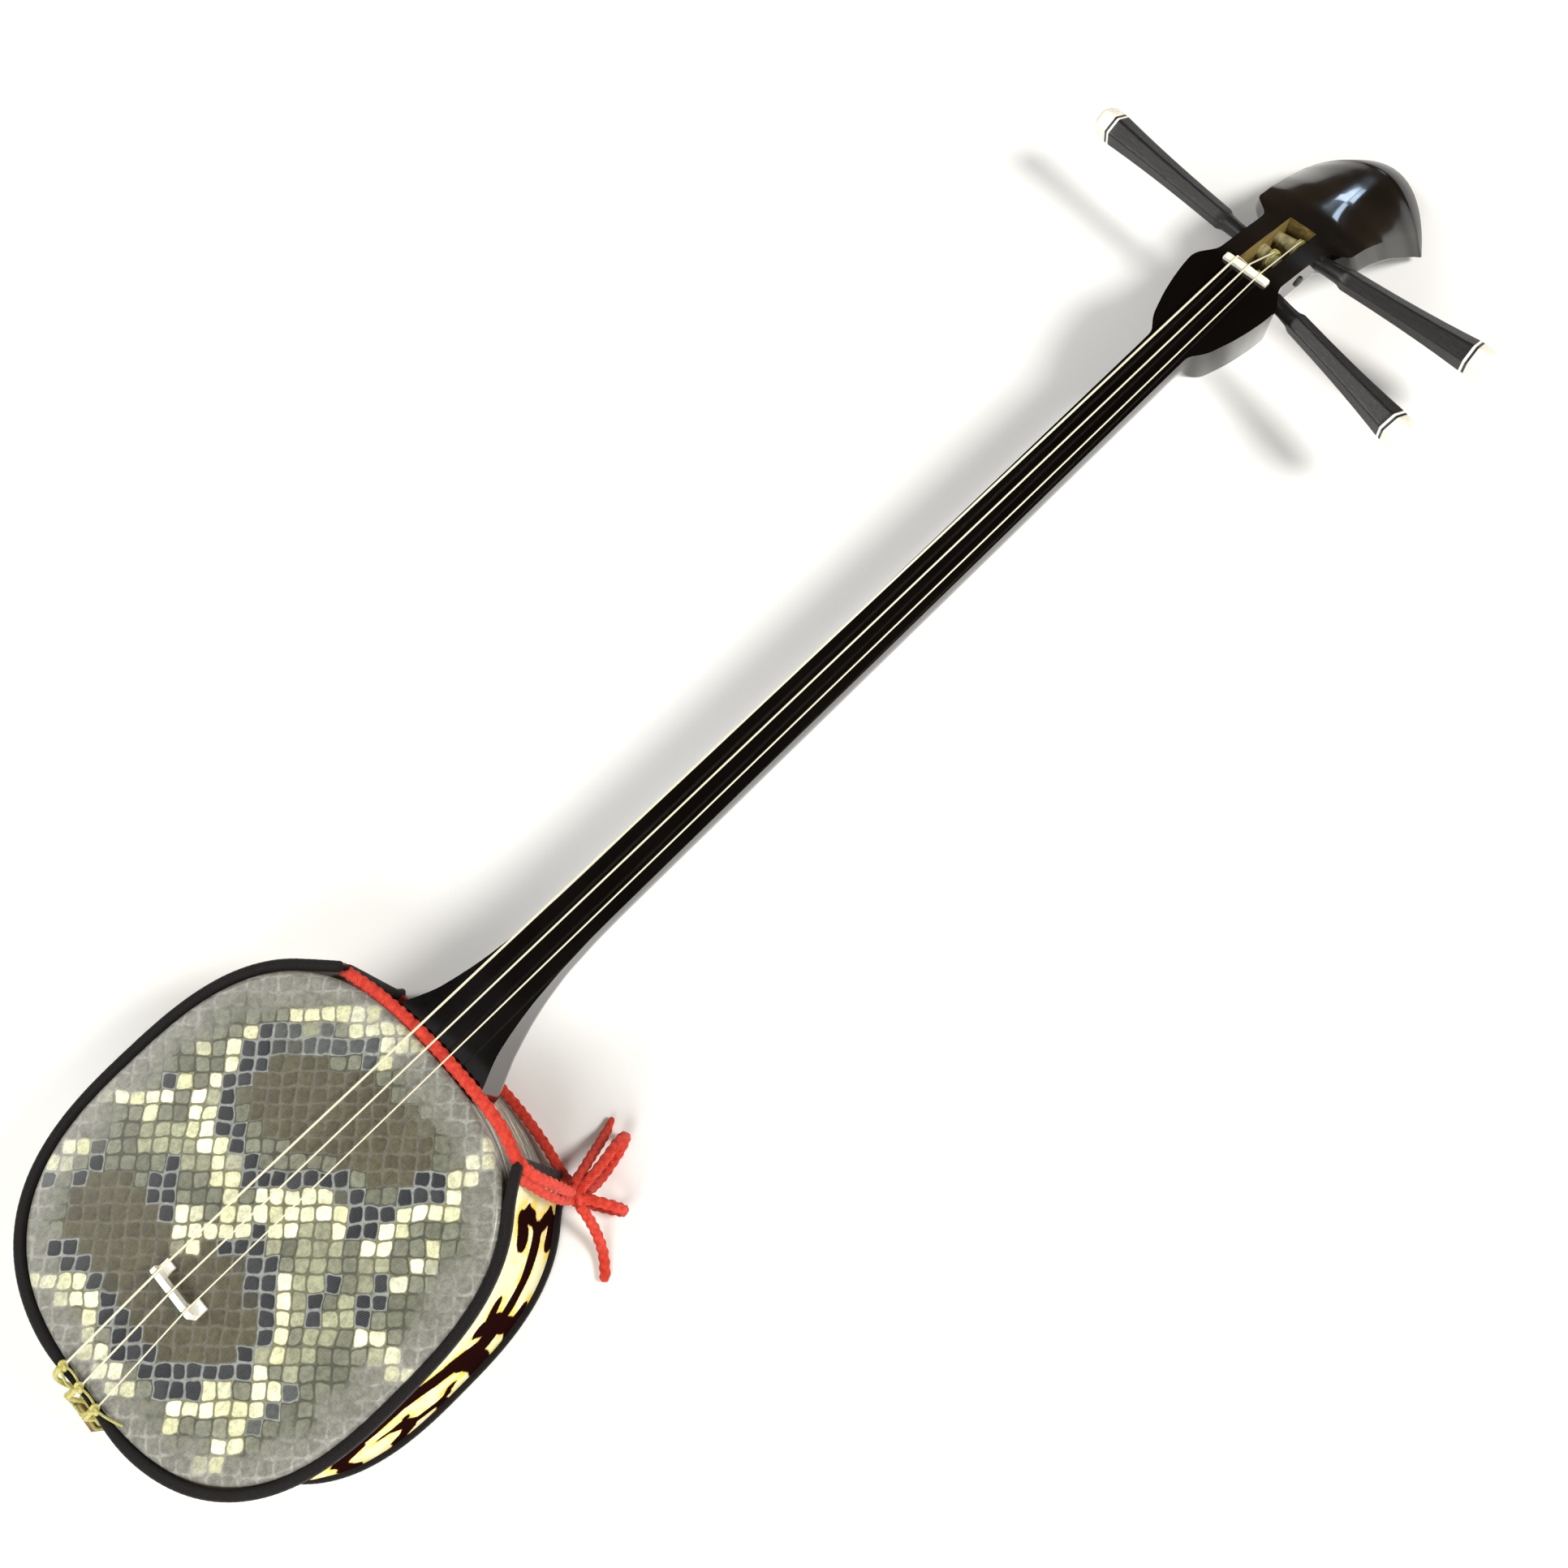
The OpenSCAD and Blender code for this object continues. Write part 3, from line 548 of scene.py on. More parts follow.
def loft(rings, capped=True):
    """Vertices and faces through rings of the same number of points, turning outwards."""
    m = len(rings[0])
    verts = [v for ring in rings for v in ring]
    faces = [
        (k * m + i, k * m + (i + 1) % m, (k + 1) * m + (i + 1) % m, (k + 1) * m + i)
        for k in range(len(rings) - 1) for i in range(m)
    ]
    if capped:
        faces.append(tuple(range(m - 1, -1, -1)))
        faces.append(tuple((len(rings) - 1) * m + i for i in range(m)))
    return verts, faces


def face_out(obj):
    """Turns a closed mesh right side out."""
    bm = bmesh.new()
    bm.from_mesh(obj.data)
    inside_out = bm.calc_volume(signed=True) < 0
    bm.free()
    if inside_out:
        obj.data.flip_normals()
    return obj


def bevel(obj, width, segments, angle):
    mod = obj.modifiers.new("bevel", "BEVEL")
    mod.width = width
    mod.segments = segments
    mod.limit_method = "ANGLE"
    mod.angle_limit = math.radians(angle)
    mod.harden_normals = True


def apply_modifiers(obj):
    graph = bpy.context.evaluated_depsgraph_get()
    mesh = bpy.data.meshes.new_from_object(obj.evaluated_get(graph))
    obj.modifiers.clear()
    obj.data = mesh


def smooth_path(route, step):
    """Points along a Catmull-Rom curve through the route, about step apart."""
    ends = [2 * route[0] - route[1]] + list(route) + [2 * route[-1] - route[-2]]
    path = []
    for p0, p1, p2, p3 in zip(ends, ends[1:], ends[2:], ends[3:]):
        n = max(2, round((p2 - p1).length / step))
        for i in range(n):
            t = i / n
            path.append(0.5 * (2 * p1 + (p2 - p0) * t + (2 * p0 - 5 * p1 + 4 * p2 - p3) * t ** 2
                               + (3 * p1 - p0 - 3 * p2 + p3) * t ** 3))
    path.append(route[-1].copy())
    return path


def swept(name, path, sides, radius, slot, replaces, body="instrument", hint=Vector((0, 0, 1)),
          follow=False):
    """A solid along a path. radius(s, angle) gives the two offsets, across the hint and along it. The
    offsets turn with the path or, with follow, keep to the hint."""
    rings, flat = [], []
    s = 0
    up = hint
    for i, p in enumerate(path):
        along = (path[min(i + 1, len(path) - 1)] - path[max(i - 1, 0)]).normalized()
        if i:
            s += (p - path[i - 1]).length
        want = hint if follow else up
        up = (want - along * want.dot(along))
        up = up.normalized() if up.length > 1e-9 else along.orthogonal().normalized()
        across = along.cross(up)
        ring = []
        for k in range(sides):
            angle = 2 * math.pi * k / sides
            a, b = radius(s, angle)
            ring.append(p + across * a + up * b)
            flat.append(Vector((s, angle * 0.002, 0)))
        rings.append(ring)
    verts, faces = loft(rings)
    return face_out(build(name, verts, faces, slot, replaces, body, flat))


def length_along(path):
    return sum((b - a).length for a, b in zip(path, path[1:]))


def braid(width, thick, tip=0, length=0):
    """The outline of a braided flat cord, which narrows over the last tip of its length."""
    pitch, lobes, relief = 0.0042, 3, 0.26

    def radius(s, angle):
        a = math.sin(math.pi * (s / pitch + lobes * angle / (2 * math.pi)))
        b = math.sin(math.pi * (s / pitch - lobes * angle / (2 * math.pi)))
        k = 1 - relief + relief * math.sqrt(abs(a * b))
        if tip and length - s < tip:
            k *= 0.35 + 0.65 * math.sqrt(max(0, length - s) / tip)
        return width / 2 * k * math.cos(angle), thick / 2 * k * math.sin(angle)
    return radius


def twist(diameter, pitch, plies=3):
    """The outline of a twisted cord."""
    relief = 0.14

    def radius(s, angle):
        k = 1 - relief + relief * abs(math.cos(plies * angle / 2 + math.pi * plies * s / pitch))
        return diameter / 2 * k * math.cos(angle), diameter / 2 * k * math.sin(angle)
    return radius


def trefoil(middle, size, height, n):
    """A closed path in the shape of a small three-lobed knot."""
    path = []
    for i in range(n + 1):
        t = 2 * math.pi * i / n
        lobe = (size * (math.sin(t) + 2 * math.sin(2 * t)), size * (math.cos(t) - 2 * math.cos(2 * t)),
                -height * math.sin(3 * t))
        path.append((Vector(middle) + Vector(lobe)) * MM)
    return path


# ---------------- body

HALF_LEN, HALF_WID, BODY_H, SQUARE = 88.5, 87, 70, 2.74
# The band's two ends, in degrees round the outline, and how far its face stands off it
BAND_FROM, BAND_TO = 29, 327.5
BAND_OUT = 2.4


def power(v, p):
    return math.copysign(abs(v) ** p, v)


def rim(t, grow, z):
    """A point of the body's outline, grown outwards, at parameter t in degrees."""
    a = math.radians(t)
    return Vector(((HALF_LEN + grow) * power(math.cos(a), 2 / SQUARE),
                   (HALF_WID + grow) * power(math.sin(a), 2 / SQUARE), z)) * MM


def lift(t):
    """How far the band stands off the body near its two ends."""
    return (2 * max(0, 1 - (t - BAND_FROM) / 13) ** 2 + 4 * max(0, 1 - (BAND_TO - t) / 13) ** 2)


SKIN_ROUND = 3  # the radius of the rim


def skin(name, top):
    """A taut skin: a straight side, a rounded rim and a flat face. top is 1 for the front skin and -1
    for the back one."""
    n = 288
    # each row: how far inside the outline, the height, and how far past the flat face's edge
    rows = [(0, 35 + 8 * i, 36 - 8 * i) for i in range(5)]
    rows += [(SKIN_ROUND * (1 - math.cos(a)), BODY_H - SKIN_ROUND * (1 - math.sin(a)),
              SKIN_ROUND * (math.pi / 2 - a)) for a in [math.pi / 20 * i for i in range(1, 11)]]
    rows += [(SKIN_ROUND + inset, BODY_H, -inset) for inset in (4, 12, 24, 40, 58, 76)]
    rings, flat = [], []
    for inset, z, out in rows:
        height = z if top > 0 else BODY_H - z
        ring = []
        for i in range(n):
            t = 360 * i / n
            p = rim(t, -inset, height)
            ring.append(p)
            e = rim(t, out - SKIN_ROUND if out > 0 else -inset, 0)
            flat.append(Vector((e.x, e.y, 0)) if top > 0 else Vector((-e.x, e.y + 0.02, 0)))
        rings.append(ring)
    verts, faces = loft(rings, capped=False)
    faces.append(tuple((len(rings) - 1) * n + i for i in range(n)))
    obj = build(name, verts, faces, "snakeskin", [name], flat=flat)
    if top < 0:
        obj.data.flip_normals()


def band_path(grow, z, from_t=BAND_FROM, to_t=BAND_TO, n=300):
    ts = [from_t + (to_t - from_t) * i / n for i in range(n + 1)]
    return [rim(t, grow + lift(t), z) for t in ts]


def band():
    rows = [(BAND_OUT - 0.7, 65.9), (BAND_OUT, 65.2), (BAND_OUT, 52), (BAND_OUT, 35), (BAND_OUT, 18),
            (BAND_OUT, 4.8), (BAND_OUT - 0.7, 4.1)]
    verts, flat, faces = [], [], []
    n = 300
    for g, z in rows:
        s = 0
        path = band_path(g, z)
        for i, p in enumerate(path):
            if i:
                s += (p - path[i - 1]).length
            verts.append(p)
            flat.append(Vector((s, z * MM, 0)))
    for k in range(len(rows) - 1):
        for i in range(n):
            a = k * (n + 1) + i
            faces.append((a, a + 1, a + n + 2, a + n + 1))
    obj = build("band_cloth", verts, faces, "band_fabric", ["band_fabric"], flat=flat)
    mod = obj.modifiers.new("thickness", "SOLIDIFY")
    mod.thickness = 0.7 * MM
    mod.offset = -1 if obj.data.polygons[0].normal.dot(Vector((verts[0].x, verts[0].y, 0))) > 0 else 1


ROLL_WIDTH = 4.6


def piping():
    def roll(width, height, length, rounding=2 * MM):
        def radius(s, angle):
            # a rolled edge: rounded, a little boxy, with faint pulls of the thread and closed tips
            k = 1 - 0.012 * (1 + math.sin(s * 2400))
            to_tip = min(1, max(0, min(s, length - s)) / rounding)
            k *= math.sqrt(max(0.04, 1 - (1 - to_tip) ** 2))
            return (width(s) / 2 * k * power(math.cos(angle), 0.75),
                    height / 2 * k * power(math.sin(angle), 0.75))
        return radius

    for name, z, height in (("band_piping_front", 68, 4), ("band_piping_back", 2.35, 3.4)):
        path = band_path(BAND_OUT, z, BAND_FROM - 1.8, BAND_TO + 1.8, n=520)
        behind = min(range(len(path)), key=lambda i: path[i].x + 0.05 * abs(path[i].y + 3 * MM))
        tail_at = length_along(path[:1 + behind])

        def width(s):
            # the tail cord pulls the front roll thin behind the body
            pull = math.exp(-((s - tail_at) / 0.017) ** 2) if name == "band_piping_front" else 0
            return (ROLL_WIDTH - 2.3 * pull) * MM

        run, moved = 0, []
        for i, p in enumerate(path):
            run += (p - path[i - 1]).length if i else 0
            moved.append(p + Vector(((ROLL_WIDTH * MM - width(run)) / 2, 0, 0)))
        swept(name + "_roll", moved, 20, roll(width, height * MM, length_along(path)), "piping", [name])
    for i, (t, out) in enumerate(((BAND_FROM, -1), (BAND_TO, 1))):
        p = rim(t, BAND_OUT + lift(t), 0)
        outward = p.normalized()
        side = Vector((-p.y, p.x, 0)).normalized() * out * 2.73 * MM
        path = []
        for k in range(91):
            z = 3 + 64 * k / 90
            curl = max(0, 1 - (z - 3) / 12) ** 2 * (2.4 if i == 0 else 0.8)
            path.append(p + side + outward * curl * MM + Vector((0, 0, z * MM)))
        outline = roll(lambda s: (3.4 + 1.7 * min(1, s / 0.05)) * MM, ROLL_WIDTH * MM, 64 * MM, 3 * MM)
        swept(f"band_end_roll_{i}", path, 20, outline, "piping", ["band_piping_ends"], hint=outward)


# ---------------- neck

# The neck's section at each x, in millimetres: half its width, the height of its top, the top's fall to
# its edges, the depth at the sides and in the middle, the flare below, and the head's curved end
HALF_WIDTH = [
    (88, 26.5), (93.6, 25.2), (100, 22), (107, 19), (115, 17), (123, 15.3), (131, 14), (147, 12.3),
    (165, 11.3), (180, 11.1), (515, 10.1), (522.5, 10.2), (524, 12), (526.5, 14), (530, 16),
    (534, 17.3), (540, 19.4), (548, 21.4), (556, 22.8), (563, 23.4), (566, 22.4), (570, 19),
    (573.5, 16.7), (606, 16.7), (608, 18.5), (613, 26.2), (620, 26.4), (634, 27.2), (645, 28.3),
    (655, 29.3), (673, 30.8)]
TOP = [
    (88, 63.4), (571, 57), (576, 56.2), (590, 52.8), (600, 50), (612, 46.8), (625, 43.6), (640, 39),
    (655, 33.8), (665, 30), (673, 26.5)]
DROP = [(571, 0), (606, 0.8), (613, 1.6), (625, 2.7), (640, 5.5), (655, 8.8), (665, 11), (673, 13.4)]
SIDE = [
    (88, 26), (105, 22), (123, 14), (147, 7), (180, 4), (518, 4), (524, 17), (530, 21.5), (566, 22.5),
    (573, 14), (606, 12), (613, 10.5), (640, 9), (673, 9)]
DEPTH = [
    (88, 40), (100, 39.5), (112, 36), (123, 31), (136, 25), (150, 22), (165, 20.5), (180, 20),
    (515, 19.5), (524, 22), (532, 24), (560, 25), (571, 27), (580, 27), (606, 23.5), (613, 23), (630, 20),
    (650, 14), (673, 10.5)]
FLARE = [
    (88, -2), (123, -1), (180, 0), (518, 0), (530, -2.2), (566, -2.5), (573, -1.4), (606, -1.2),
    (613, 2.5), (640, 4.6), (673, 6.6)]
BOW = [(612, 0), (625, 1), (640, 3), (655, 5.5), (673, 8)]
SLANT_MID = [(606, 0), (640, 4), (673, 12)]
SLANT_EDGE = [(606, 0), (613, 3), (640, 1), (673, -2.5)]
# x, half width, top and bottom
TENON = [(-107, 6.4, 44, 31), (-9.3, 8.7, 51, 30.5), (88.4, 11, 58, 30)]


def lookup(x, table):
    if x <= table[0][0]:
        return table[0][1]
    for (x0, v0), (x1, v1) in zip(table, table[1:]):
        if x <= x1:
            return v0 + (v1 - v0) * (x - x0) / (x1 - x0)
    return table[-1][1]


def smooth(x, table):
    taps = ((-2.4, 0.12), (-1.2, 0.22), (0, 0.32), (1.2, 0.22), (2.4, 0.12))
    return sum(w * lookup(x + d, table) for d, w in taps)


STEPS = 36


def neck_ring(x):
    w, top, drop = smooth(x, HALF_WIDTH), smooth(x, TOP), smooth(x, DROP)
    side, depth, flare = smooth(x, SIDE), smooth(x, DEPTH), smooth(x, FLARE)
    bow, mid, edge = smooth(x, BOW), smooth(x, SLANT_MID), smooth(x, SLANT_EDGE)
    ring = []
    for i in range(STEPS + 1):
        u = math.cos(i * math.pi / STEPS)
        ring.append(Vector((x - bow * u * u, w * u, top - drop * u * u)) * MM)
    for i in range(STEPS, -1, -1):
        u = math.cos(i * math.pi / STEPS)
        under = side + (depth - side) * math.sqrt(max(0, 1 - u * u))
        ring.append(Vector((x - bow * u * u + mid + (edge - mid) * u * u, (w + flare) * u,
                            top - drop * u * u - under)) * MM)
    return ring


def tenon_ring(x, half, high, low):
    ring = [Vector((x, half * (1 - 2 * i / STEPS), high)) * MM for i in range(STEPS + 1)]
    return ring + [Vector((x, -half * (1 - 2 * i / STEPS), low)) * MM for i in range(STEPS + 1)]


# The peg box's slot: its ends, floor and half width
SLOT_FROM, SLOT_TO, SLOT_FLOOR, BOX_HALF = 572.8, 612.5, 34.5, 7.2
# Each peg's x, height, angle in plan and the side of its handle
PEG_PLACE = [(578, 45.6, -12, -1), (592, 43.4, 5.7, 1), (604.6, 41.4, 2.5, -1)]
PEG_BODY = ["thick_peg", "middle_peg", "thin_peg"]
PEG_NODE = ["peg_thick", "peg_middle", "peg_thin"]


def peg_matrix(k):
    """A peg's own frame: its Z axis runs out along the handle."""
    x, z, angle, side = PEG_PLACE[k]
    return (Matrix.Translation(Vector((x, 0, z)) * MM)
            @ Matrix.Rotation(math.radians(angle * -side), 4, "Z")
            @ Matrix.Rotation(math.radians(-90 * side), 4, "X"))


def cutter(name, verts, faces):
    mesh = bpy.data.meshes.new(name)
    mesh.from_pydata([tuple(v) for v in verts], [], faces)
    mesh.materials.append(MATERIALS["slot_wood"])
    return face_out(new_object(name, mesh))


def box_cutter(name, low, high):
    xs, ys, zs = zip(low, high)
    rings = [[Vector((x, ys[a], zs[b])) * MM for a, b in ((0, 0), (1, 0), (1, 1), (0, 1))] for x in xs]
    return cutter(name, *loft(rings))


def neck():
    rings = [tenon_ring(*row) for row in TENON]
    xs = [88.5] + [90 + 2 * i for i in range(46)] + [195 + 20 * i for i in range(16)]
    xs += [508 + 1.25 * i for i in range(132)] + [673]
    rings += [neck_ring(x) for x in xs if x <= 673]
    verts, faces = loft(rings)
    # the curved end of the head, in strips from its top edge to its bottom edge
    faces.pop()
    first, last = len(verts) - len(rings[-1]), len(verts) - 1
    faces += [(first + i, first + i + 1, last - i - 1, last - i) for i in range(STEPS)]
    obj = build("neck_wood", verts, faces, "lacquer", ["neck", "peg_head"],
                materials=["lacquer", "raw_wood", "slot_wood"])
    for poly in obj.data.polygons:
        if poly.center.x < 88.3 * MM:
            poly.material_index = 1
    tools = [box_cutter("slot", (SLOT_FROM, -BOX_HALF, SLOT_FLOOR), (SLOT_TO, BOX_HALF, 80)),
             box_cutter("nut_seat", (570, -12, 55.2), (573, 12, 70))]
    for k in range(3):
        frame_k = peg_matrix(k)
        rings = [[frame_k @ (Vector((r * math.cos(a), r * math.sin(a), z)) * MM)
                  for a in [2 * math.pi * i / 48 for i in range(48)]]
                 for z, r in ((-30, 2.65), (0, 2.65), (0.001, 3.65), (30, 3.65))]
        tools.append(cutter(f"peg_hole_{k}", *loft(rings)))
    for tool in tools:
        mod = obj.modifiers.new(tool.name, "BOOLEAN")
        mod.operation = "DIFFERENCE"
        mod.solver = "MANIFOLD"
        mod.object = tool
    apply_modifiers(obj)
    for tool in tools:
        bpy.data.objects.remove(tool)
    for poly in obj.data.polygons:
        c = poly.center / MM
        # the slot's floor, and the underside below it
        if SLOT_FROM - 0.1 < c.x < SLOT_TO + 0.1 and abs(c.y) < BOX_HALF + 0.1 and c.z < 35:
            if poly.material_index == 0 and abs(poly.normal.z) > 0.9:
                poly.material_index = 2
    obj.data.set_sharp_from_angle(angle=math.radians(38))
    bevel(obj, 0.45 * MM, 2, 40)


# ---------------- pegs

def hexagon(radius, angle, sharp):
    """Distance to a rounded hexagon whose corners lie at radius, at this angle."""
    apothem = radius * math.cos(math.pi / 6)
    total = sum(abs(math.cos(angle - math.pi / 3 * i)) ** sharp for i in range(3))
    return apothem * total ** (-1 / sharp)


def turned(name, k, rows, slot, node, worn=None):
    """A solid about a peg's axis, through rows of [distance, radius, how six-sided]. worn is the
    material between the peg box's walls."""
    n = 96
    frame_k = peg_matrix(k)
    rings = []
    for z, r, faceted in rows:
        ring = []
        for i in range(n):
            a = 2 * math.pi * i / n
            radius = r + (hexagon(r, a, 26) - r) * faceted
            ring.append(frame_k @ (Vector((radius * math.cos(a), radius * math.sin(a), z)) * MM))
        rings.append(ring)
    verts, faces = loft(rings)
    obj = face_out(build(name, verts, faces, slot, [node], PEG_BODY[k],
                         materials=[slot, worn] if worn else None))
    if worn:
        back = frame_k.inverted()
        for poly in obj.data.polygons:
            poly.material_index = int(abs((back @ poly.center).z) < BOX_HALF * MM)
    obj.data.set_sharp_from_angle(angle=math.radians(50))


# Where each peg's wood ends, out along its axis
PEG_END = [93.5, 100.5, 94.5]


def pegs():
    for k in range(3):
        node, end = PEG_NODE[k], PEG_END[k]
        rows = [(-16.9, 2.2, 0), (-16.6, 2.5, 0), (-16.2, 2.6, 0), (-BOX_HALF, 2.6, 0), (-6, 2.6, 0),
                (6, 3.6, 0), (BOX_HALF, 3.6, 0), (19, 3.6, 0), (23, 3.7, 0), (26, 3.85, 0),
                (28, 4.05, 0.1), (29, 4.4, 0.6), (30, 4.9, 1), (31, 5.2, 1)]
        for i in range(1, 31):
            t = i / 30
            z = 31 + (end - 0.5 - 31) * t
            rows.append((z, 5.2 + 0.5 * t + 1.9 * t ** 2.4, 1))
        rows.append((end, 7.55, 1))
        turned(node + "_wood", k, rows, "ebony", node, worn="worn_ebony")
        for j, slot in enumerate(("line_white", "line_black")):
            z = end + 1.2 * j
            plate = [(z + 0.02, 7.5, 1), (z + 0.2, 7.6, 1), (z + 1.0, 7.6, 1), (z + 1.18, 7.5, 1)]
            turned(f"{node}_{slot}_plate", k, plate, slot, f"{node}_{slot}")
        z = end + 2.4
        cap = [(z + 0.02, 7.5, 1), (z + 0.2, 7.6, 1), (z + 5.3, 7.3, 1), (z + 6.6, 6.9, 1),
               (z + 7.6, 6.1, 0.9), (z + 8.4, 4.8, 0.7), (z + 8.8, 3.4, 0.4), (z + 9, 1.2, 0.1)]
        turned(node + "_cap_ivory", k, cap, "ivory", node + "_cap")


# The middle of each peg's winding, out along its axis
WINDING_AT = [2, 0, 4.5]


def windings():
    """The strings' ends, wound in two layers round each peg."""
    for k in range(3):
        frame_k = peg_matrix(k)
        path = []
        turns = 7
        for i in range(turns * 28 + 1):
            turn = i / 28
            layer = 0 if turn < 4 else 1
            r = 3.92 if layer == 0 else 4.3
            r += 0.38 * min(1, max(0, turn - 3.6) / 0.4) if layer == 0 else 0
            along = -1.55 + 0.85 * turn if layer == 0 else 1.85 - 0.8 * (turn - 4)
            a = 2 * math.pi * turn + 0.35 * math.sin(turn * 5)
            path.append(frame_k @ (Vector((r * math.cos(a), r * math.sin(a), WINDING_AT[k] + along)) * MM))
        axis = (frame_k.to_3x3() @ Vector((0, 0, 1))).normalized()
        swept(PEG_NODE[k] + "_thread", path, 10, twist(0.74 * MM, 1.6 * MM, 2), "tail_silk",
              [PEG_NODE[k] + "_winding"], PEG_BODY[k], axis)
        if k == 0:
            # the slot's end wall leaves no room for loose ends on the thick string's peg as it turns
            continue
        # the loose ends, towards the nut
        up = -PEG_PLACE[k][3]
        for j, (start, far, drop) in enumerate(((0.9, -1, 1.4), (-1.2, 1.5, 1.6))):
            z = WINDING_AT[k] + start
            route = [(-0.4, 4.5 * up, z), (-2, (5.2 - drop * 0.2) * up, z + far * 0.3),
                     (-3.8, (4.2 - drop * 0.4) * up, z + far * 0.7),
                     (-4.8, (2.4 - drop * 0.5) * up, z + far)]
            path = [frame_k @ q for q in smooth_path(points(route), 0.25 * MM)]
            swept(f"{PEG_NODE[k]}_end_{j}", path, 8, twist(0.85 * MM, 1.5 * MM, 2), "tail_silk",
                  [PEG_NODE[k] + "_winding"], PEG_BODY[k], axis)


# ---------------- red cords

LACE_FRONT = [
    (84, 54, 64), (85.8, 47, 66), (88.6, 33, 66.4), (90.6, 15, 66.4), (91.4, -4, 66.4),
    (91.2, -25, 66.4), (89.8, -42, 66.4), (86.2, -56, 66), (85.8, -62.5, 60), (87, -67.5, 48),
    (87.4, -70, 36), (86.8, -70.8, 25)]
# The other end of the front lace, which comes out from under the piping
LACE_SECOND = [
    (81.4, -60.4, 65.4), (81.9, -62.6, 60), (82.6, -68.2, 48), (83.2, -71.2, 36), (84.4, -72.2, 26)]
LACE_BACK = [
    (84, 54, 9), (85.8, 47, 7), (88.6, 33, 6.4), (91, 15, 6.2), (91.8, -4, 6.2), (91.4, -25, 6.2),
    (89.8, -42, 6.4), (87.4, -56, 7.4), (87.4, -63.5, 11.5), (87.2, -69, 18)]
LOOP_LONG = [
    (89, -71, 21), (95, -70.5, 20.4), (101, -69.5, 18.6), (107, -68.2, 16.8), (112, -66.8, 14.6),
    (115.8, -65.8, 11.4), (117, -65.4, 8), (115.4, -65.6, 4.6), (111.6, -66.6, 2.6),
    (106, -68, 2.4), (100, -69.6, 4), (94.6, -71.4, 9), (90.6, -72.4, 15)]
LOOP_SHORT = [
    (88.4, -74.2, 20.6), (91, -78, 19.8), (93.4, -82, 17.8), (95.4, -85.6, 14.8),
    (96.2, -87.6, 11), (95.6, -87.6, 6.6), (93.6, -85, 3.4), (90.8, -80.8, 3.6),
    (88.4, -77, 8), (87, -75, 13)]
TAIL_UPPER = [
    (89.6, -67.6, 22), (95.4, -65.6, 18.6), (101.4, -62.6, 13.2), (107.4, -59.6, 7.4),
    (112.4, -57, 3.4), (117.4, -54.4, 2.2)]
TAIL_LOWER = [
    (85.6, -75.4, 20.6), (84.4, -80.4, 16.4), (81.8, -86.2, 10), (78, -92.2, 4.4),
    (73.6, -97.6, 2.3), (70, -101.4, 2.1)]
KNOT = (86.6, -71, 20.5)


def red_cords():
    for name, route, node, width in (("lace_front_braid", LACE_FRONT, "lace_front", 5.6),
                                     ("lace_second_braid", LACE_SECOND, "lace_front", 4.2),
                                     ("lace_back_braid", LACE_BACK, "lace_back", 4.8)):
        swept(name, smooth_path(points(route), 0.35 * MM), 28, braid(width * MM, 2.9 * MM), "red_cord",
              [node])
    # each row: its route, length, far end and how much of it narrows to a tip
    bows = (
        ("bow_loop_long", LOOP_LONG, 0.070, "object", 0),
        ("bow_loop_short", LOOP_SHORT, 0.046, "object", 0),
        ("bow_tail_upper", TAIL_UPPER, 0.037, "bare", 9 * MM),
        ("bow_tail_lower", TAIL_LOWER, 0.037, "bare", 2 * MM),
    )
    for node, route, length, far_end, tip in bows:
        path = smooth_path(points(route), 0.35 * MM)
        outline = braid(4.8 * MM, 2.9 * MM, tip, length_along(path))
        cord = swept(node + "_braid", path, 28, outline, "red_cord", [node])
    swept("lace_knot_braid", trefoil(KNOT, 1.1, 1.54, 160), 24, braid(4.4 * MM, 3.6 * MM), "red_cord",
          ["lace_knot"])


# ---------------- tail cord and strings

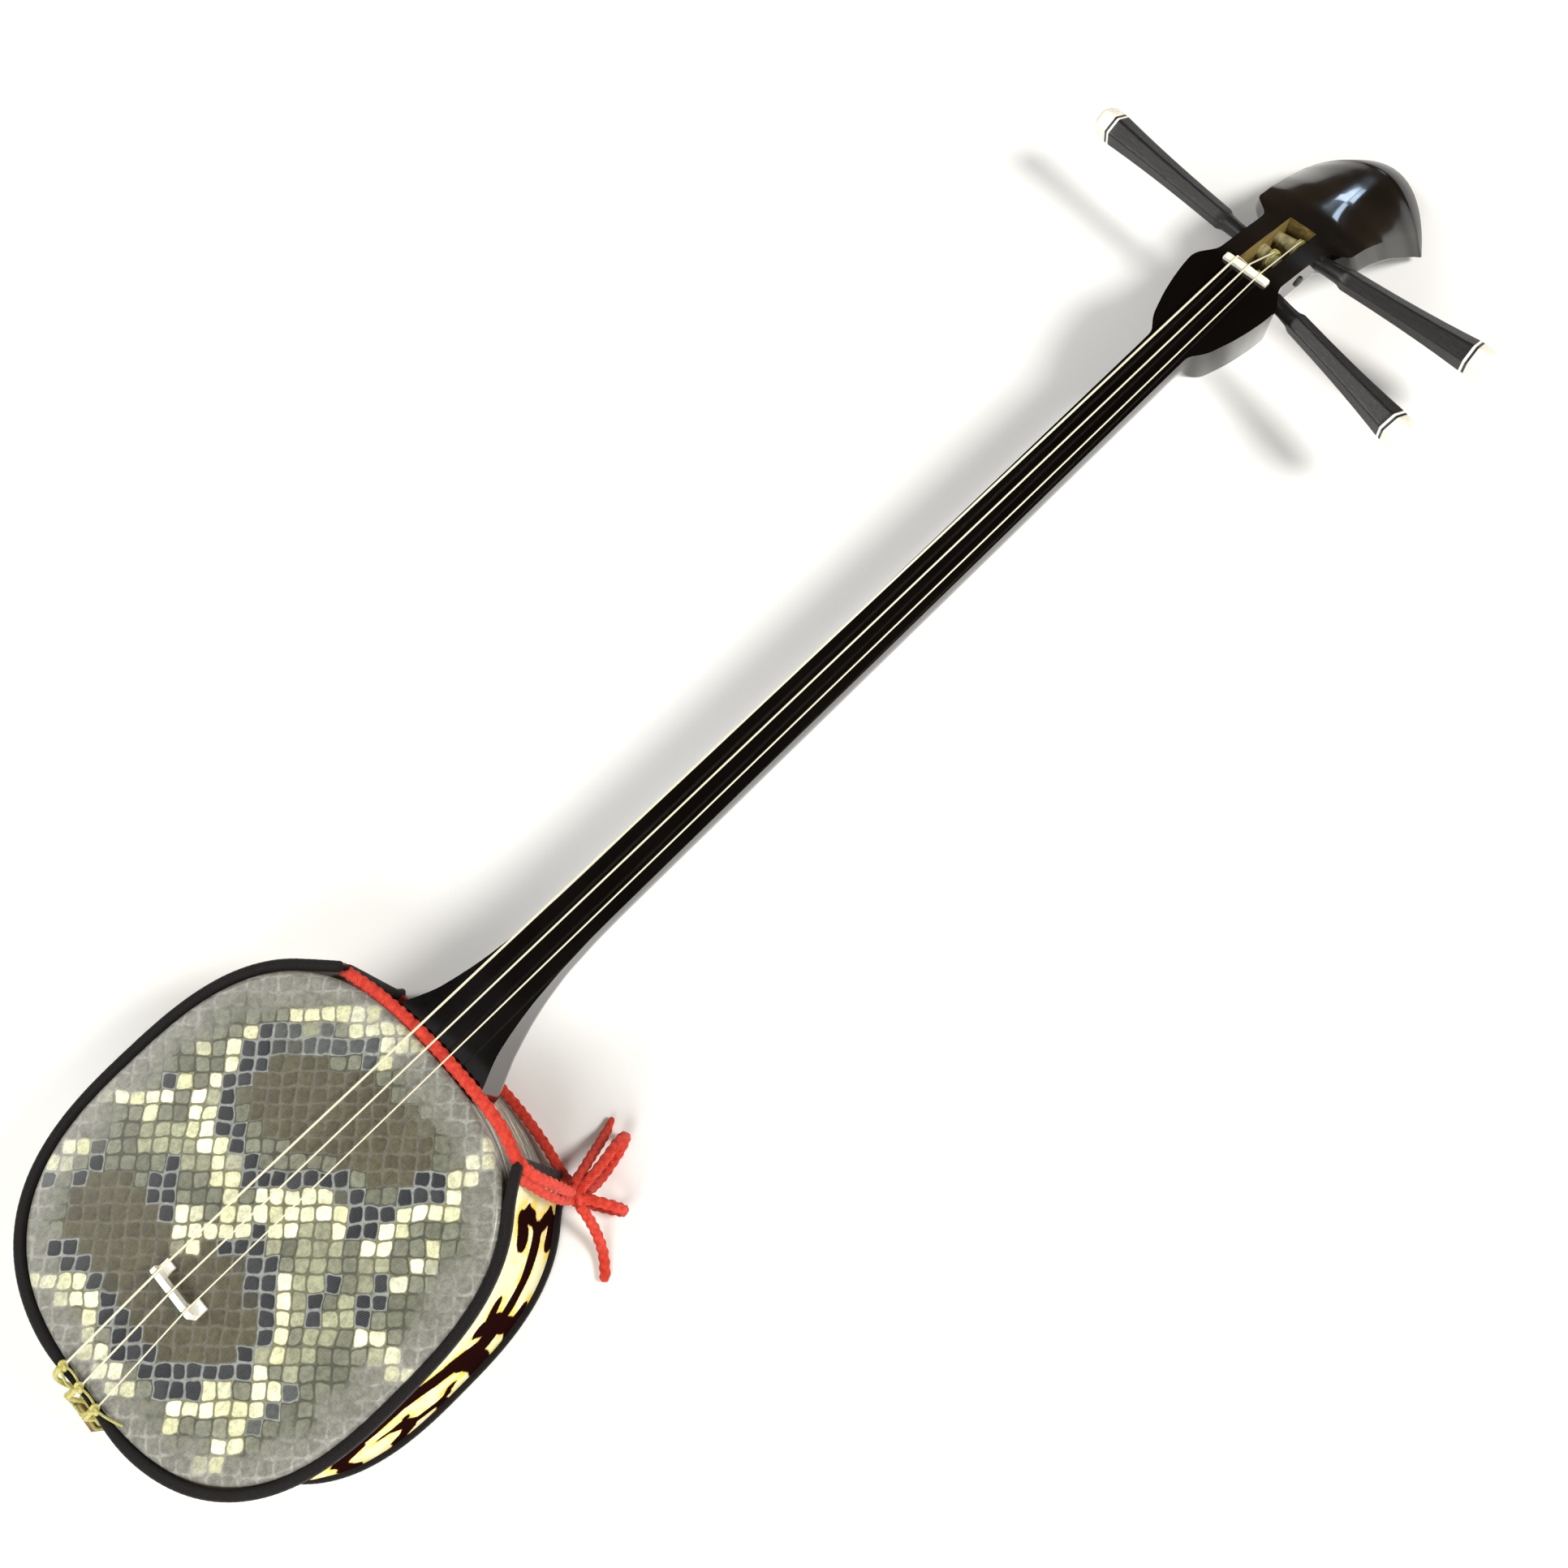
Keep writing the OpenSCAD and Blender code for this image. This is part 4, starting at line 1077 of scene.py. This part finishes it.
# Strands of the tail cord: their diameters, and their routes from the knots to the tail block and
# along the rim
TAIL_STRANDS = [
    (1.75, [(-88.5, -10.8, 71.7), (-92.4, -10.6, 71.4), (-94.4, -10, 69), (-96.4, -9, 58),
            (-99.6, -7, 46)]),
    (1.35, [(-88.8, -9.6, 71.8), (-92.6, -9.4, 71.6), (-95, -8.4, 68.6), (-98, -7.2, 56),
           (-102.4, -6.6, 45.2)]),
    (1.75, [(-88.5, 0, 71.7), (-92.4, 0.3, 71.4), (-95, 1, 69), (-97.4, 1.4, 58), (-99.6, 1, 46)]),
    (1.25, [(-88.8, 1, 71.9), (-92.8, 1.6, 71.5), (-96, 3, 68), (-101.6, 5.4, 55), (-105.6, 6.5, 45.4),
           (-105.9, 7.1, 41), (-105.4, 7.1, 35)]),
    (1.75, [(-88.5, 10.8, 71.7), (-92.4, 10.6, 71.4), (-94.6, 10.2, 69), (-97.2, 9, 58), (-99.6, 7, 46)]),
    (1.25, [(-88.8, 11.6, 71.9), (-92.8, 11.4, 71.5), (-95.8, 9.6, 66), (-96, 6, 60), (-95, 2.6, 64),
           (-92.6, 0.8, 71.3)]),
    (1.15, [(-89, -10.4, 72), (-93.2, -8.6, 71.2), (-99, -2.4, 60), (-104.6, 4.4, 47.4),
            (-106.2, 6.5, 44.6), (-106.2, 7, 40)]),
    (1.05, [(-88.2, 11.2, 72), (-87.6, 7, 71.3), (-87.7, 3, 71.3), (-88.3, 0, 72)]),
    (1.05, [(-88.2, 0, 72.1), (-87.8, -4, 71.3), (-87.8, -8, 71.3), (-88.4, -10.8, 72)]),
    (1.05, [(-88.4, -10.8, 72.1), (-87.6, -15, 71.3), (-86.2, -19, 71), (-84.4, -23, 70.8)]),
    (1.05, [(-90, 10.6, 72), (-91.6, 6, 71.2), (-91.4, 3, 71.2), (-89.8, 0.4, 72)]),
]
# The wraps round the tail block: half their width and height, and the height of their middle
WRAP_HALF = (7.4, 7.7)
WRAP_MIDDLE = 37.83


def tail():
    for j, (width, route) in enumerate(TAIL_STRANDS):
        swept(f"tail_cord_strand_{j}", smooth_path(points(route), 0.25 * MM), 12,
              twist(width * MM, 3 * MM), "tail_silk", ["tail_cord"])
    for j, y in enumerate((-10.8, 0, 10.8)):
        path = trefoil((-88.9, y, BODY_H + 2), 0.55, 0.9, 120)
        swept(f"tail_knot_{j}", path, 10, twist(1.7 * MM, 2 * MM), "tail_silk", ["tail_cord_knots"])
    for j, x in enumerate((-97.2, -98.8, -100.4, -101.9, -104.4)):
        path = []
        for i in range(181):
            a = 2 * math.pi * i / 180
            path.append(Vector((x + 0.35 * math.sin(3 * a + j), WRAP_HALF[0] * power(math.cos(a), 0.3),
                                WRAP_MIDDLE + WRAP_HALF[1] * power(math.sin(a), 0.3))) * MM)
        swept(f"tail_wrap_{j}", path, 12, twist(1.3 * MM, 3 * MM), "tail_silk", ["tail_cord"],
              hint=Vector((1, 0, 0)), follow=True)


# ---------------- CAD pieces that stay

def dress(node, slot, width=None):
    obj = NODES[node]
    for s in obj.material_slots:
        s.link = "OBJECT"
        s.material = MATERIALS[slot]
    if width:
        bevel(obj, width, 3, 30)


camera()
studio()
red_cords()
neck()
skin("front_skin", 1)
skin("back_skin", -1)
band()
piping()
pegs()
windings()
tail()
for node in ("frame_block_head", "frame_block_tail", "frame_block_left", "frame_block_right", "neck_wedge",
             "tail_wedge"):
    dress(node, "raw_wood")
dress("band_backing", "backing")
dress("nut", "ivory", 0.35 * MM)
dress("bridge", "white_bone", 0.3 * MM)
for node in ("string_thick", "string_middle", "string_thin"):
    dress(node, "string")

floor = bpy.data.meshes.new("floor")
corners = [(x, y, -0.0004) for x, y in ((-4, -4), (4, -4), (4, 4), (-4, 4))]
floor.from_pydata(corners, [], [(0, 1, 2, 3)])
floor_obj = new_object("floor", floor)
ground = Shader("floor")
cloud = ground.noise(ground.place(), 3)
ground.set("Base Color", ground.mix(cloud, (0.90, 0.895, 0.87), (0.93, 0.925, 0.905)))
ground.set("Roughness", 0.6)
floor.materials.append(ground.material)
